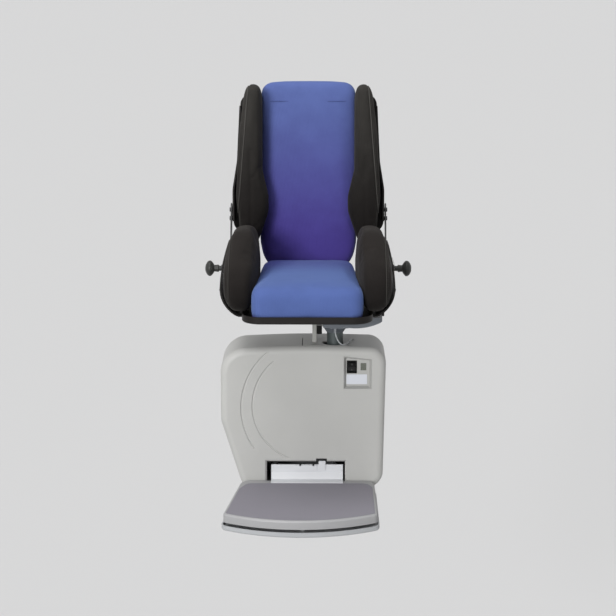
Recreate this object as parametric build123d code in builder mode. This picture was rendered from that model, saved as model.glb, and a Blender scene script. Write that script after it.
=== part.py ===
"""Stairlift chair: carriage with cover and rail trolleys, fold-up footrest, swivel seat, reclining back.

Millimetres, +X to the right, +Y towards the rail and wall, +Z up.
The origin lies on the axis of the upper rail tube, at the middle of the carriage.
"""

import os
from math import atan, cos, pi, radians, sin

from build123d import *

os.makedirs("parts", exist_ok=True)

# Clearances
fit_gap = 0.05
slip_gap = 0.4
rest_gap = 0.3
panel_gap = 1.5

# Rail that the carriage rides on
rail_radius = 25.0
rail_pitch = 170.0

# Front cover, seen from the front
cover_left_x = -190.0
cover_right_x = 188.0
cover_right_foot_x = 181.5
cover_knee_z = -66.0
cover_foot_x = -139.8
cover_bottom_z = -228.0
cover_crown_z = 111.5
cover_crown_x = -10.0
cover_left_shoulder_z = 103.0
cover_right_shoulder_z = 107.0
cover_left_round = 60.0
cover_right_round = 40.0
cover_knee_round = 35.0
cover_foot_round = 30.0
cover_crown_round = 2200.0
cover_depth = 134.0
cover_wall = 4.0
cover_edge_round = 16.0
groove_width = 5.4
groove_depth = 1.6
groove_slope = 50.0

# Chassis plate, inside the cover's rear rim
chassis_thickness = 6.0
chassis_rear_y = -66.0

# Seat post and swivel
post_x = 71.0
post_setback = 44.0
post_radius = 18.5
post_wall = 3.0
post_bottom_z = -45.0
post_top_z = 137.0
race_radius = 28.0
race_foot_radius = 20.0
race_height = 6.0
head_foot_width = 74.0
head_foot_depth = 58.0
clamp_height = 70.0
clamp_wall = 9.0
clamp_flange_depth = 8.0

# Power unit
pinion_drop = 52.0
pinion_teeth = 11
pinion_module = 4.0
pinion_width = 24.0
shaft_radius = 9.0
gearbox_half_width = 31.0
gearbox_top = 32.0
gearbox_bottom = 54.0
gearbox_depth = 58.0
gearbox_wall = 5.0
worm_wheel_radius = 22.0
worm_wheel_width = 12.0
motor_radius = 27.0
motor_length = 92.0
motor_drop = 24.0
brake_radius = 23.0
brake_length = 22.0
bearing_width = 7.0
bearing_wall = 5.0

# Batteries
battery_width = 65.0
battery_depth = 94.0
battery_height = 147.0
battery_left_x = -170.5
battery_bottom_z = -59.0
battery_spacing = 2.0
terminal_height = 5.0
battery_tray_wall = 3.0

# Trolleys
trolley_plate_thickness = 8.0
trolley_plate_y = -34.0
roller_reach = 45.0
roller_core_radius = 14.0
roller_half_width = 14.0
axle_radius = 6.0
pivot_radius = 16.0
pivot_bore = 10.0
bush_wall = 6.0
guide_core_radius = 9.0
guide_reach = 32.0
guide_axle_radius = 4.0
guide_ear = 4.0
guide_plate_thickness = 6.0
guide_plate_y = -50.0

# Console in the cover
console_left_x = 91.0
console_right_x = 154.0
console_bottom_z = 12.0
console_top_z = 88.0
console_top_drop = 7.0
console_depth = 9.0
console_wall = 2.5
console_wall_slope = 4.6
switch_x = 109.4
switch_z = 61.5
switch_width = 23.0
switch_height = 30.0
switch_depth = 26.0
switch_bezel = 2.4
switch_proud = 1.6
display_x = 135.8
display_z = 62.0
display_width = 13.0
display_height = 17.0
display_proud = 0.6
label_x = 120.8
label_z = 32.4
label_width = 47.0
label_height = 23.0
label_thickness = 0.6

# Footrest
hinge_setback = 19.0
hinge_z = -182.0
hinge_radius = 5.0
barrel_wall = 3.0
cheek_left_x = -70.0
cheek_right_x = 74.0
cheek_thickness = 8.0
cheek_round = 9.0
platform_top_z = -204.0
platform_shell_height = 19.5
platform_wall = 3.0
platform_back_gap = 5.0
platform_back_left_x = -143.0
platform_back_right_x = 162.0
platform_front_left_x = -174.0
platform_front_right_x = 163.0
platform_corner_y = -441.0
platform_front_y = -489.5
platform_back_round = 24.0
platform_front_round = 14.0
platform_top_round = 5.0
mat_margin = 6.0
mat_back_margin = 24.0
mat_thickness = 2.0
mat_corner_round = 12.0
mat_cut_round = 18.0
mat_cut_width = 11.0
mat_cut_depth = 36.0
frame_plate_thickness = 3.0
frame_inset = 11.0
sensor_travel = 2.5
sensor_gap = 3.0
safety_tray_height = 11.5
safety_tray_wall = 3.0
safety_tray_proud = 4.0
tray_spring_radius = 4.5
cutout_left_x = -84.5
cutout_right_x = 94.0
cutout_top_z = -162.0
cutout_bevel = 4.6
notch_left_x = 28.0
notch_right_x = 53.0
notch_rise = 8.3
flap_left_x = -75.0
flap_right_x = 90.0
flap_rise = 12.0
flap_thickness = 3.0
flap_setout = 10.5
tab_margin = 3.0
tab_rise = 9.0

# Seat
seat_middle_x = 9.5
seat_front_y = -430.0
seat_back_y = -86.0
tray_width = 281.0
cushion_front_width = tray_width - 40.0
cushion_back_width = cushion_front_width - 35.0
cushion_bottom_z = 217.8
cushion_thickness = 76.2
cushion_corner = 26.0
cushion_crown = 3.2
tray_bottom_z = 214.5
tray_floor = 3.0
tray_rim = 15.5
tray_back_y = -72.0
tray_front_round = 42.0
tray_back_round = 18.0
subframe_height = 33.5
subframe_plate = 7.0
subframe_left_inset = 35.0
subframe_right_inset = 25.0
head_arm_reach = 106.0
head_depth = 120.0
lever_length = 50.0
lever_width = 20.0
lever_thickness = 6.0
lever_pin_radius = 1.8
grip_length = 26.0

# Hip supports
hip_pad_thickness = 63.0
hip_pad_gap = 0.8
hip_pad_top_z = 391.0
hip_pad_back_y = -156.0
hip_pad_front_y = -404.0
hip_shell_bulge = tray_width / 2 + 51.0
hip_shell_bulge_z = 277.0
hip_shell_low_arc = 73.0
hip_shell_high_arc = 210.0
hip_shell_wall = 3.5
hip_shell_foot = tray_width / 2 - subframe_right_inset + 2.5
hip_shell_top_z = 350.0
hip_shell_front_y = -345.0
hip_shell_back_y = -62.0

# Back rest
recline = 6.0
back_front_y = -82.0
back_bottom_z = 291.0
back_length = 406.5
back_drop = 16.0
back_thickness = 52.0
slit_height = 2.4
slit_width = 44.0
slit_depth = 14.0
slit_up = 361.5
slit_left = -67.0
slit_right = 65.0
arm_wall = 3.0
arm_inner = hip_shell_bulge - 14.7
arm_width = 30.0
arm_top = 127.0
arm_bolt_radius = 5.0
shell_wall = 4.0
shell_gap = 0.5
shell_low_half_width = arm_inner - 1.8
shell_mid_half_width = shell_low_half_width - 10.5
shell_top_half_width = shell_low_half_width - 18.0
shell_low = 58.0
shell_flare = 160.0
shell_mid = 225.0
shell_top = 379.0
shell_rim = 44.0
shell_round = 26.0
wing_reach = shell_low_half_width - shell_wall - 9.5
wing_top_reach = wing_reach - 21.2
wing_top_width = 32.0
wing_bulge = 15.5
wing_boss_radius = 12.0
wing_boss_low = 130.0
wing_boss_high = 320.0
back_half_width = wing_top_reach - wing_top_width - 1.0
back_low_half_width = back_half_width + 3.0
back_foot_half_width = back_half_width - 8.0
tongue_half_width = back_half_width - 23.0
tongue_low = 12.0

# Recline pivot and clamp knobs
pivot_y = -100.0
pivot_z = 272.0
clamp_bolt_radius = 5.0
recline_disc_radius = 24.0
washer_radius = 26.0
washer_height = 7.0
knob_radius = 18.0
knob_head_length = 20.0
knob_neck_radius = 7.5
knob_neck_length = 17.9

# Derived places
cover_front_y = chassis_rear_y - cover_depth
chassis_front_y = chassis_rear_y - chassis_thickness
post_y = cover_front_y + post_setback
hinge_y = cover_front_y + hinge_setback
platform_back_y = cover_front_y - platform_back_gap
pinion_z = -pinion_drop
lower_rail_z = -rail_pitch
cover_rear_plane = Plane.XZ.offset(-chassis_rear_y)
cover_face_plane = Plane.XZ.offset(-cover_front_y)
console_face_y = cover_front_y + console_depth
head_bottom_z = post_top_z + 2 * race_height + rest_gap
subframe_bottom_z = tray_bottom_z - subframe_height


def block(x0, x1, y0, y1, z0, z1, mode=Mode.ADD):
    with Locations(((x0 + x1) / 2, (y0 + y1) / 2, (z0 + z1) / 2)):
        Box(x1 - x0, y1 - y0, z1 - z0, mode=mode)


def rod_x(radius, x0, x1, y, z, mode=Mode.ADD):
    with Locations(((x0 + x1) / 2, y, z)):
        Cylinder(radius, x1 - x0, rotation=(0, 90, 0), mode=mode)


def rod_y(radius, x, y0, y1, z, mode=Mode.ADD):
    with Locations((x, (y0 + y1) / 2, z)):
        Cylinder(radius, y1 - y0, rotation=(90, 0, 0), mode=mode)


def rod_z(radius, x, y, z0, z1, mode=Mode.ADD):
    with Locations((x, y, (z0 + z1) / 2)):
        Cylinder(radius, z1 - z0, mode=mode)


def rounded_face(plane, corners, rounds, inset=0.0):
    """A closed outline with rounded corners on a plane, drawn in by an inset."""
    with BuildSketch(plane) as face:
        with BuildLine():
            FilletPolyline(corners, radius=rounds, close=True)
        make_face()
        if inset:
            offset(amount=-inset)
    return face.sketch


# ---------------------------------------------------------------- front cover

def cover_face(inset):
    corners = [
        (cover_left_x, cover_left_shoulder_z),
        (cover_crown_x, cover_crown_z),
        (cover_right_x, cover_right_shoulder_z),
        (cover_right_foot_x, cover_bottom_z),
        (cover_foot_x, cover_bottom_z),
        (cover_left_x, cover_knee_z),
    ]
    rounds = [
        cover_left_round,
        cover_crown_round,
        cover_right_round,
        cover_right_round,
        cover_foot_round,
        cover_knee_round,
    ]
    return rounded_face(cover_rear_plane, corners, rounds, inset)


insert_left_x = -4.0
insert_right_x = post_x + 32.0
insert_front_y = post_y - 31.0
insert_back_y = post_y + 46.0
post_hole_radius = post_radius + 6.0
post_hole_x = post_x - 4.5
duct_x = 24.2
duct_width = 10.0
duct_depth = 6.0
duct_y = post_y + 6.0
duct_bottom_z = 20.0
duct_top_z = head_bottom_z + 7.0
cable_hole_x = post_x + 41.0
cable_hole_y = post_y + 32.0
cable_hole_radius = 4.5
cable_hole_z = 100.0

with BuildPart() as cover_core:
    extrude(cover_face(cover_wall), amount=cover_depth - cover_wall)
    fillet(cover_core.faces().sort_by(Axis.Y)[0].edges(), radius=cover_edge_round - cover_wall)


def cutout_face(y, widening):
    """Outline of the opening for the footrest hinge, widened on its top and sides."""
    with BuildSketch(Plane.XZ.offset(-y)) as face:
        with BuildLine():
            Polyline(
                (cutout_left_x - widening, cover_bottom_z - 2),
                (cutout_left_x - widening, cutout_top_z + widening),
                (cutout_right_x + widening, cutout_top_z + widening),
                (cutout_right_x + widening, cover_bottom_z - 2),
                close=True,
            )
        make_face()
    return face.sketch


screw_radius = 2.5
boss_radius = 6.5
boss_places = [(-165.0, -95.0), (-26.0, 75.0), (166.0, 50.0), (160.0, -150.0)]
boss_rear_y = chassis_front_y - rest_gap
screw_depth = 22.0

with BuildPart() as front_cover:
    extrude(cover_face(0), amount=cover_depth)
    fillet(front_cover.faces().sort_by(Axis.Y)[0].edges(), radius=cover_edge_round)
    add(cover_core.part, mode=Mode.SUBTRACT)
    with BuildSketch(cover_face_plane):
        with BuildLine() as outer_groove:
            CenterArc((28.0, -33.7), 170.7, 127.6, 86.4)
        SlotArc(outer_groove.edge(), groove_width)
        with BuildLine() as inner_groove:
            CenterArc((18.5, -29.0), 135.4, 130.6, 116.0)
        SlotArc(inner_groove.edge(), groove_width)
    extrude(amount=-groove_depth, taper=groove_slope, mode=Mode.SUBTRACT)
    for boss_x, boss_z in boss_places:
        rod_y(boss_radius, boss_x, cover_front_y + cover_wall / 2, boss_rear_y, boss_z)
        rod_y(
            screw_radius + fit_gap, boss_x, boss_rear_y - screw_depth, boss_rear_y, boss_z,
            mode=Mode.SUBTRACT,
        )
    block(
        cutout_left_x, cutout_right_x, cover_front_y - 1, cover_front_y + 45,
        cover_bottom_z - 1, cutout_top_z, mode=Mode.SUBTRACT,
    )
    loft(
        [
            cutout_face(cover_front_y - 0.5, cutout_bevel + 0.5),
            cutout_face(cover_front_y + cutout_bevel, 0),
        ],
        ruled=True, mode=Mode.SUBTRACT,
    )
    block(
        notch_left_x, notch_right_x, cover_front_y - 1, cover_front_y + 45,
        cutout_top_z - 1, cutout_top_z + notch_rise, mode=Mode.SUBTRACT,
    )
    with BuildSketch(cover_face_plane.offset(-cover_edge_round)):
        with BuildLine():
            Polyline(
                (console_left_x, console_bottom_z),
                (console_right_x, console_bottom_z),
                (console_right_x, console_top_z - console_top_drop),
                (console_left_x, console_top_z),
                close=True,
            )
        make_face()
    extrude(amount=cover_edge_round + 1, mode=Mode.SUBTRACT)
    block(
        insert_left_x, insert_right_x, insert_front_y, insert_back_y,
        cover_left_shoulder_z - 12, cover_crown_z + 2, mode=Mode.SUBTRACT,
    )
    rod_z(
        cable_hole_radius, cable_hole_x, cable_hole_y, cable_hole_z - 10, cover_crown_z + 2,
        mode=Mode.SUBTRACT,
    )

front_cover.part.label = "front_cover"
export_step(front_cover.part, "parts/front_cover.step")


# The panel that closes the cover round the post.
with BuildPart() as top_insert:
    extrude(cover_face(0), amount=cover_depth)
    add(cover_core.part, mode=Mode.SUBTRACT)
    block(
        insert_left_x + panel_gap, insert_right_x - panel_gap / 3, insert_front_y + panel_gap / 3,
        insert_back_y - panel_gap / 3, cover_left_shoulder_z - 12, cover_crown_z + 2, mode=Mode.INTERSECT,
    )
    rod_z(post_hole_radius, post_hole_x, post_y, cover_left_shoulder_z - 12, cover_crown_z + 2, mode=Mode.SUBTRACT)
    block(
        duct_x - duct_width / 2 - slip_gap, duct_x + duct_width / 2 + slip_gap,
        duct_y - duct_depth / 2 - slip_gap,
        duct_y + duct_depth / 2 + slip_gap, cover_left_shoulder_z - 12, cover_crown_z + 2, mode=Mode.SUBTRACT,
    )

top_insert.part.label = "top_insert"
export_step(top_insert.part, "parts/top_insert.step")


# ------------------------------------------------------------- chassis plate

bush_radius = pivot_radius + bush_wall
clamp_left_x = post_x - 28.0
clamp_right_x = post_x + 28.0
clamp_bottom_z = post_bottom_z + 4.0
clamp_top_z = clamp_bottom_z + clamp_height
bolt_radius = 4.0
bolt_head_radius = 6.5
bolt_head_height = 5.5
bolt_depth = 6.0
clamp_bolts = [
    (post_x + side * 18.0, clamp_bottom_z + rise)
    for side in (-1, 1)
    for rise in (10.0, clamp_height - 10.0)
]
gearbox_bolts = [
    (side * (gearbox_half_width - 6.0), pinion_z + rise)
    for side in (-1, 1)
    for rise in (6.0 - gearbox_bottom, gearbox_top - 6.0)
]
bracket_bottom_z = hinge_z - 33.0
bracket_top_z = hinge_z + 6.0
bracket_bolts = [(x, bracket_top_z - 10.0) for x in (cheek_left_x + 20, cheek_right_x - 20)]
bracket_base = 6.0

with BuildPart() as chassis_plate:
    extrude(cover_face(cover_wall + slip_gap), amount=chassis_thickness)
    rod_y(bush_radius + fit_gap, 0, chassis_front_y - 1, chassis_rear_y + 1, pinion_z, mode=Mode.SUBTRACT)
    rod_y(bush_radius + fit_gap, 0, chassis_front_y - 1, chassis_rear_y + 1, lower_rail_z, mode=Mode.SUBTRACT)
    for bolt_x, bolt_z in clamp_bolts + gearbox_bolts + bracket_bolts:
        rod_y(
            bolt_radius + slip_gap, bolt_x, chassis_front_y - 1, chassis_rear_y + 1, bolt_z,
            mode=Mode.SUBTRACT,
        )
    for boss_x, boss_z in boss_places:
        rod_y(
            screw_radius + slip_gap, boss_x, chassis_front_y - 1, chassis_rear_y + 1, boss_z,
            mode=Mode.SUBTRACT,
        )

chassis_plate.part.label = "chassis_plate"
export_step(chassis_plate.part, "parts/chassis_plate.step")

with BuildPart() as chassis_fasteners:
    for bolt_x, bolt_z in clamp_bolts + gearbox_bolts + bracket_bolts:
        rod_y(bolt_radius, bolt_x, chassis_front_y - bolt_depth + 1, chassis_rear_y, bolt_z)
        with BuildSketch(Plane.XZ.offset(-chassis_rear_y - bolt_head_height)):
            with Locations((bolt_x, bolt_z)):
                RegularPolygon(bolt_head_radius, 6)
        extrude(amount=bolt_head_height)
    for boss_x, boss_z in boss_places:
        rod_y(screw_radius, boss_x, boss_rear_y - screw_depth + 4, chassis_rear_y, boss_z)
        rod_y(screw_radius * 1.9, boss_x, chassis_rear_y, chassis_rear_y + 3, boss_z)

chassis_fasteners.part.label = "chassis_fasteners"
export_step(chassis_fasteners.part, "parts/chassis_fasteners.step")


# ------------------------------------------------- post, clamp and swivel race

with BuildPart() as post_clamp:
    block(
        clamp_left_x, clamp_right_x, chassis_front_y - clamp_flange_depth, chassis_front_y,
        clamp_bottom_z, clamp_top_z,
    )
    block(
        post_x - 12, post_x + 12, post_y, chassis_front_y - clamp_flange_depth + 1,
        clamp_bottom_z, clamp_top_z,
    )
    rod_z(post_radius + clamp_wall, post_x, post_y, clamp_bottom_z, clamp_top_z)
    rod_z(post_radius + fit_gap, post_x, post_y, clamp_bottom_z - 1, clamp_top_z + 1, mode=Mode.SUBTRACT)
    for bolt_x, bolt_z in clamp_bolts:
        rod_y(
            bolt_radius + fit_gap, bolt_x, chassis_front_y - bolt_depth, chassis_front_y + 1, bolt_z,
            mode=Mode.SUBTRACT,
        )

post_clamp.part.label = "post_clamp"
export_step(post_clamp.part, "parts/post_clamp.step")

with BuildPart() as seat_post:
    rod_z(post_radius, post_x, post_y, post_bottom_z, post_top_z)
    rod_z(post_radius - post_wall, post_x, post_y, post_bottom_z - 1, post_top_z + 1, mode=Mode.SUBTRACT)

seat_post.part.label = "seat_post"
export_step(seat_post.part, "parts/seat_post.step")

clip_width = 6.0
clip_reach = 3.0
clip_wall = 4.0
clip_x = post_x
clip_front_y = post_y - race_radius - clip_reach - clip_wall
clip_low_z = post_top_z + 4.0
clip_hood_z = post_top_z + 14.0
clip_hood_height = 4.0
cable_radius = 1.4
cable_top_y = clip_front_y - 2.0

# Lower swivel race, a cone with the spigot that enters the post and a clip for the cable.
with BuildPart() as post_race:
    with Locations((post_x, post_y, post_top_z + race_height)):
        Cone(race_foot_radius, race_radius, 2 * race_height)
    rod_z(post_radius - post_wall - fit_gap, post_x, post_y, post_top_z - 20, post_top_z + 1)
    block(
        clip_x - clip_width / 2, clip_x + clip_width / 2, clip_front_y, post_y - race_radius + 6,
        clip_low_z, clip_low_z + clip_wall,
    )
    block(
        clip_x - clip_width / 2, clip_x + clip_width / 2, clip_front_y, clip_front_y + clip_wall,
        clip_low_z, clip_hood_z + clip_hood_height,
    )
    block(
        clip_x - clip_width / 2, clip_x + clip_width / 2, cable_top_y - 2.5, clip_front_y + 1,
        clip_hood_z, clip_hood_z + clip_hood_height,
    )

post_race.part.label = "post_race"
export_step(post_race.part, "parts/post_race.step")

with BuildPart() as cable_duct:
    block(
        duct_x - duct_width / 2, duct_x + duct_width / 2, duct_y - duct_depth / 2, duct_y + duct_depth / 2,
        duct_bottom_z, duct_top_z,
    )
    fillet(cable_duct.edges().filter_by(Axis.Z), radius=1.2)
    block(
        duct_x - duct_width / 2, duct_x + duct_width / 2, duct_y + duct_depth / 2 - 3, chassis_front_y,
        duct_bottom_z, duct_bottom_z + 4,
    )

cable_duct.part.label = "cable_duct"
export_step(cable_duct.part, "parts/cable_duct.step")

switch_box_left_x = duct_x + duct_width / 2
switch_box_right_x = post_x - race_radius - 1.6

with BuildPart() as seat_switch:
    block(
        switch_box_left_x, switch_box_right_x, duct_y - duct_depth / 2, duct_y + 26,
        post_top_z - 8, head_bottom_z - rest_gap,
    )
    chamfer(seat_switch.edges().filter_by(Axis.Y), length=1.2)

seat_switch.part.label = "seat_switch"
export_step(seat_switch.part, "parts/seat_switch.step")

# Thin cable that hangs from the race's clip and enters the cover beside the post.
cable_points = [
    (clip_x, cable_top_y, clip_hood_z),
    (clip_x, cable_top_y, clip_hood_z - 8),
    (clip_x + 2.0, cable_top_y - 1.0, post_top_z - 3.0),
    (clip_x + 7.0, cable_top_y - 1.5, post_top_z - 15.0),
    (clip_x + 14.5, cable_top_y, post_top_z - 23.0),
    (clip_x + 22.5, cable_top_y + 7.0, post_top_z - 25.4),
    (clip_x + 30.0, cable_top_y + 24.0, post_top_z - 24.4),
    (clip_x + 36.5, cable_hole_y - 26.0, post_top_z - 22.6),
    (clip_x + 40.6, cable_hole_y - 11.0, post_top_z - 22.4),
    (cable_hole_x, cable_hole_y - 1.5, post_top_z - 27.0),
    (cable_hole_x, cable_hole_y, post_top_z - 37.0),
    (cable_hole_x, cable_hole_y, post_top_z - 45.0),
]


def cable_rounds(points):
    rounds = []
    for before, corner, after in zip(points, points[1:], points[2:]):
        run_in = Vector(*corner) - Vector(*before)
        run_out = Vector(*after) - Vector(*corner)
        turn = run_in.get_angle(run_out)
        shorter = min(run_in.length, run_out.length)
        rounds.append(0.45 * shorter / max(0.02, abs(sin(radians(turn / 2)) / cos(radians(turn / 2)))))
    return rounds


seat_cable_rounds = cable_rounds(cable_points)
print("cable radii", [round(value, 1) for value in seat_cable_rounds])

with BuildPart() as seat_cable:
    with BuildLine() as cable_path:
        FilletPolyline(cable_points, radius=seat_cable_rounds)
    with BuildSketch(Plane(origin=cable_path.wire() @ 0, z_dir=cable_path.wire() % 0)):
        Circle(cable_radius)
    sweep(path=cable_path.wire())

seat_cable.part.label = "seat_cable"
export_step(seat_cable.part, "parts/seat_cable.step")
print("cable length", round(cable_path.wire().length, 1), "volume ratio",
      round(seat_cable.part.volume / (pi * cable_radius ** 2 * cable_path.wire().length), 4))


# ------------------------------------------------------------------ power unit

battery_front_y = chassis_front_y - 10.0 - battery_depth
battery_places = [battery_left_x, battery_left_x + battery_width + battery_spacing]

with BuildPart() as battery_pair:
    for battery_x in battery_places:
        block(
            battery_x, battery_x + battery_width, battery_front_y, battery_front_y + battery_depth,
            battery_bottom_z, battery_bottom_z + battery_height - terminal_height,
        )
    fillet(battery_pair.edges().filter_by(Axis.Z), radius=2)
    for battery_x in battery_places:
        for step in (0.2, 0.8):
            block(
                battery_x + battery_width * step - 3, battery_x + battery_width * step + 3,
                battery_front_y + 8, battery_front_y + 16,
                battery_bottom_z + battery_height - terminal_height, battery_bottom_z + battery_height,
            )

battery_pair.part.label = "battery_pair"
export_step(battery_pair.part, "parts/battery_pair.step")

with BuildPart() as battery_tray:
    tray_left = battery_left_x - 1
    tray_right = battery_left_x + 2 * battery_width + battery_spacing + 1
    block(
        tray_left, tray_right, battery_front_y - 1, chassis_front_y,
        battery_bottom_z - battery_tray_wall, battery_bottom_z,
    )
    block(
        tray_left, tray_right, battery_front_y - 1 - battery_tray_wall, battery_front_y - 1,
        battery_bottom_z - battery_tray_wall, battery_bottom_z + 18,
    )
    block(
        tray_left, tray_right, chassis_front_y - battery_tray_wall, chassis_front_y,
        battery_bottom_z - 1, battery_bottom_z + 60,
    )

battery_tray.part.label = "battery_tray"
export_step(battery_tray.part, "parts/battery_tray.step")

gearbox_front_y = chassis_front_y - gearbox_depth
gearbox_top_z = pinion_z + gearbox_top
gearbox_bottom_z = pinion_z - gearbox_bottom
motor_y = (gearbox_front_y + chassis_front_y) / 2
motor_z = pinion_z - motor_drop - 3.0
wheel_front_y = motor_y - worm_wheel_width / 2
bearing_radius = shaft_radius + bearing_wall

with BuildPart() as gearbox_housing:
    block(
        -gearbox_half_width, gearbox_half_width, gearbox_front_y, chassis_front_y,
        gearbox_bottom_z, gearbox_top_z,
    )
    fillet(gearbox_housing.edges().filter_by(Axis.Y), radius=7)
    rod_y(
        worm_wheel_radius + 3, 0, wheel_front_y - 3, wheel_front_y + worm_wheel_width + 3, pinion_z,
        mode=Mode.SUBTRACT,
    )
    rod_y(
        bearing_radius + fit_gap, 0, gearbox_front_y + gearbox_wall, wheel_front_y, pinion_z,
        mode=Mode.SUBTRACT,
    )
    rod_y(bearing_radius + fit_gap, 0, wheel_front_y, chassis_front_y + 1, pinion_z, mode=Mode.SUBTRACT)
    rod_y(
        bush_radius + 2, 0, chassis_front_y - 4, chassis_front_y + 1, pinion_z, mode=Mode.SUBTRACT,
    )
    for bolt_x, bolt_z in gearbox_bolts:
        rod_y(
            bolt_radius + fit_gap, bolt_x, chassis_front_y - bolt_depth, chassis_front_y + 1, bolt_z,
            mode=Mode.SUBTRACT,
        )

gearbox_housing.part.label = "gearbox_housing"
export_step(gearbox_housing.part, "parts/gearbox_housing.step")

with BuildPart() as motor_can:
    rod_x(motor_radius, gearbox_half_width, gearbox_half_width + motor_length, motor_y, motor_z)
    rod_x(
        motor_radius - 6, gearbox_half_width + motor_length - 1, gearbox_half_width + motor_length,
        motor_y, motor_z,
    )
    chamfer(motor_can.edges().filter_by(GeomType.CIRCLE).sort_by(Axis.X)[-1], length=1.5)

motor_can.part.label = "motor_can"
export_step(motor_can.part, "parts/motor_can.step")

with BuildPart() as brake_unit:
    brake_x = gearbox_half_width + motor_length
    rod_x(brake_radius, brake_x, brake_x + brake_length, motor_y, motor_z)
    fillet(brake_unit.edges().filter_by(GeomType.CIRCLE).sort_by(Axis.X)[-1], radius=4)

brake_unit.part.label = "brake_unit"
export_step(brake_unit.part, "parts/brake_unit.step")

with BuildPart() as controller_box:
    block(
        clamp_right_x + 6, clamp_right_x + 76, chassis_front_y - 46, chassis_front_y,
        motor_z + motor_radius + 6, console_bottom_z - 14,
    )
    fillet(controller_box.edges().filter_by(Axis.Y), radius=3)

controller_box.part.label = "controller_box"
export_step(controller_box.part, "parts/controller_box.step")

front_bearing_y = gearbox_front_y + gearbox_wall
rear_bearing_y = chassis_front_y - 4 - bearing_width - 1

# Two ball bearings for the drive shaft, and the two flanged bushes that the trolleys pivot in.
with BuildPart() as bearings:
    for bearing_y in (front_bearing_y, rear_bearing_y):
        rod_y(bearing_radius, 0, bearing_y, bearing_y + bearing_width, pinion_z)
        rod_y(
            shaft_radius + fit_gap, 0, bearing_y - 1, bearing_y + bearing_width + 1, pinion_z,
            mode=Mode.SUBTRACT,
        )
    for bush_z in (pinion_z, lower_rail_z):
        rod_y(bush_radius, 0, chassis_front_y, chassis_rear_y + 3, bush_z)
        rod_y(bush_radius + 3, 0, chassis_rear_y + 0.1, chassis_rear_y + 3, bush_z)
        rod_y(pivot_radius + fit_gap, 0, chassis_front_y - 1, chassis_rear_y + 4, bush_z, mode=Mode.SUBTRACT)

bearings.part.label = "bearings"
export_step(bearings.part, "parts/bearings.step")


def gear_face(plane, teeth, module):
    pitch = teeth * module / 2
    root = pitch - 1.2 * module
    tip = pitch + module
    with BuildSketch(plane) as face:
        Circle(root)
        with PolarLocations(0, teeth):
            with BuildLine():
                Polyline(
                    (root - 1, -module * 0.95),
                    (tip, -module * 0.38),
                    (tip, module * 0.38),
                    (root - 1, module * 0.95),
                    close=True,
                )
            make_face()
    return face.sketch


with BuildPart() as drive_pinion:
    rod_y(shaft_radius, 0, front_bearing_y, pinion_width / 2 + 6, pinion_z)
    pinion_plane = Plane(origin=(0, pinion_width / 2, pinion_z), x_dir=(1, 0, 0), z_dir=(0, -1, 0))
    extrude(gear_face(pinion_plane, pinion_teeth, pinion_module), amount=pinion_width)

drive_pinion.part.label = "drive_pinion"
export_step(drive_pinion.part, "parts/drive_pinion.step")

worm_wheel_teeth = 30

with BuildPart() as worm_wheel:
    wheel_plane = Plane(
        origin=(0, wheel_front_y + worm_wheel_width, pinion_z), x_dir=(1, 0, 0), z_dir=(0, -1, 0)
    )
    wheel_module = 2 * worm_wheel_radius / (worm_wheel_teeth + 2)
    extrude(gear_face(wheel_plane, worm_wheel_teeth, wheel_module), amount=worm_wheel_width)
    rod_y(
        shaft_radius + fit_gap, 0, wheel_front_y - 1, wheel_front_y + worm_wheel_width + 1, pinion_z,
        mode=Mode.SUBTRACT,
    )

worm_wheel.part.label = "worm_wheel"
export_step(worm_wheel.part, "parts/worm_wheel.step")

# Spring contacts that meet the charge point on the rail.
contact_x = -95.0
contact_z = -110.0
with BuildPart() as charge_contacts:
    block(contact_x - 15, contact_x + 15, chassis_rear_y, chassis_rear_y + 8, contact_z - 10, contact_z + 10)
    fillet(charge_contacts.edges().filter_by(Axis.Y), radius=3)
    for step in (-7, 7):
        rod_y(2.5, contact_x + step, chassis_rear_y + 8, chassis_rear_y + 12, contact_z)

charge_contacts.part.label = "charge_contacts"
export_step(charge_contacts.part, "parts/charge_contacts.step")


# -------------------------------------------------------------------- trolleys

journal_front_y = chassis_front_y - 2.0
plate_front_y = trolley_plate_y - trolley_plate_thickness
roller_drop = rail_radius + roller_core_radius + rest_gap
roller_places = {
    "upper_roller_left": (-roller_reach, roller_drop),
    "upper_roller_right": (roller_reach, roller_drop),
    "under_roller_left": (-roller_reach, -roller_drop),
    "under_roller_right": (roller_reach, -roller_drop),
}

# Trolley that carries the four rollers round the upper tube and pivots on its hollow journal.
with BuildPart() as upper_trolley:
    with BuildSketch(Plane.XZ.offset(-trolley_plate_y)):
        with BuildLine():
            FilletPolyline(
                (-roller_reach - 18, roller_drop + 16),
                (roller_reach + 18, roller_drop + 16),
                (roller_reach + 18, -roller_drop - 6),
                (24, pinion_z - 26),
                (-24, pinion_z - 26),
                (-roller_reach - 18, -roller_drop - 6),
                radius=12, close=True,
            )
        make_face()
        with Locations((0, 2)):
            RectangleRounded(2 * roller_reach - 30, 34, 10, mode=Mode.SUBTRACT)
    extrude(amount=trolley_plate_thickness)
    rod_y(pivot_radius, 0, journal_front_y, plate_front_y + 1, pinion_z)
    rod_y(pivot_radius + 6, 0, chassis_rear_y + 3 + slip_gap, plate_front_y + 1, pinion_z)
    rod_y(pivot_bore, 0, journal_front_y - 1, trolley_plate_y + 1, pinion_z, mode=Mode.SUBTRACT)
    for axle_x, axle_z in roller_places.values():
        rod_y(axle_radius, axle_x, plate_front_y, roller_half_width + 5, axle_z)
        rod_y(axle_radius + 3, axle_x, trolley_plate_y, -roller_half_width - slip_gap, axle_z)

upper_trolley.part.label = "upper_trolley"
export_step(upper_trolley.part, "parts/upper_trolley.step")


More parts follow.
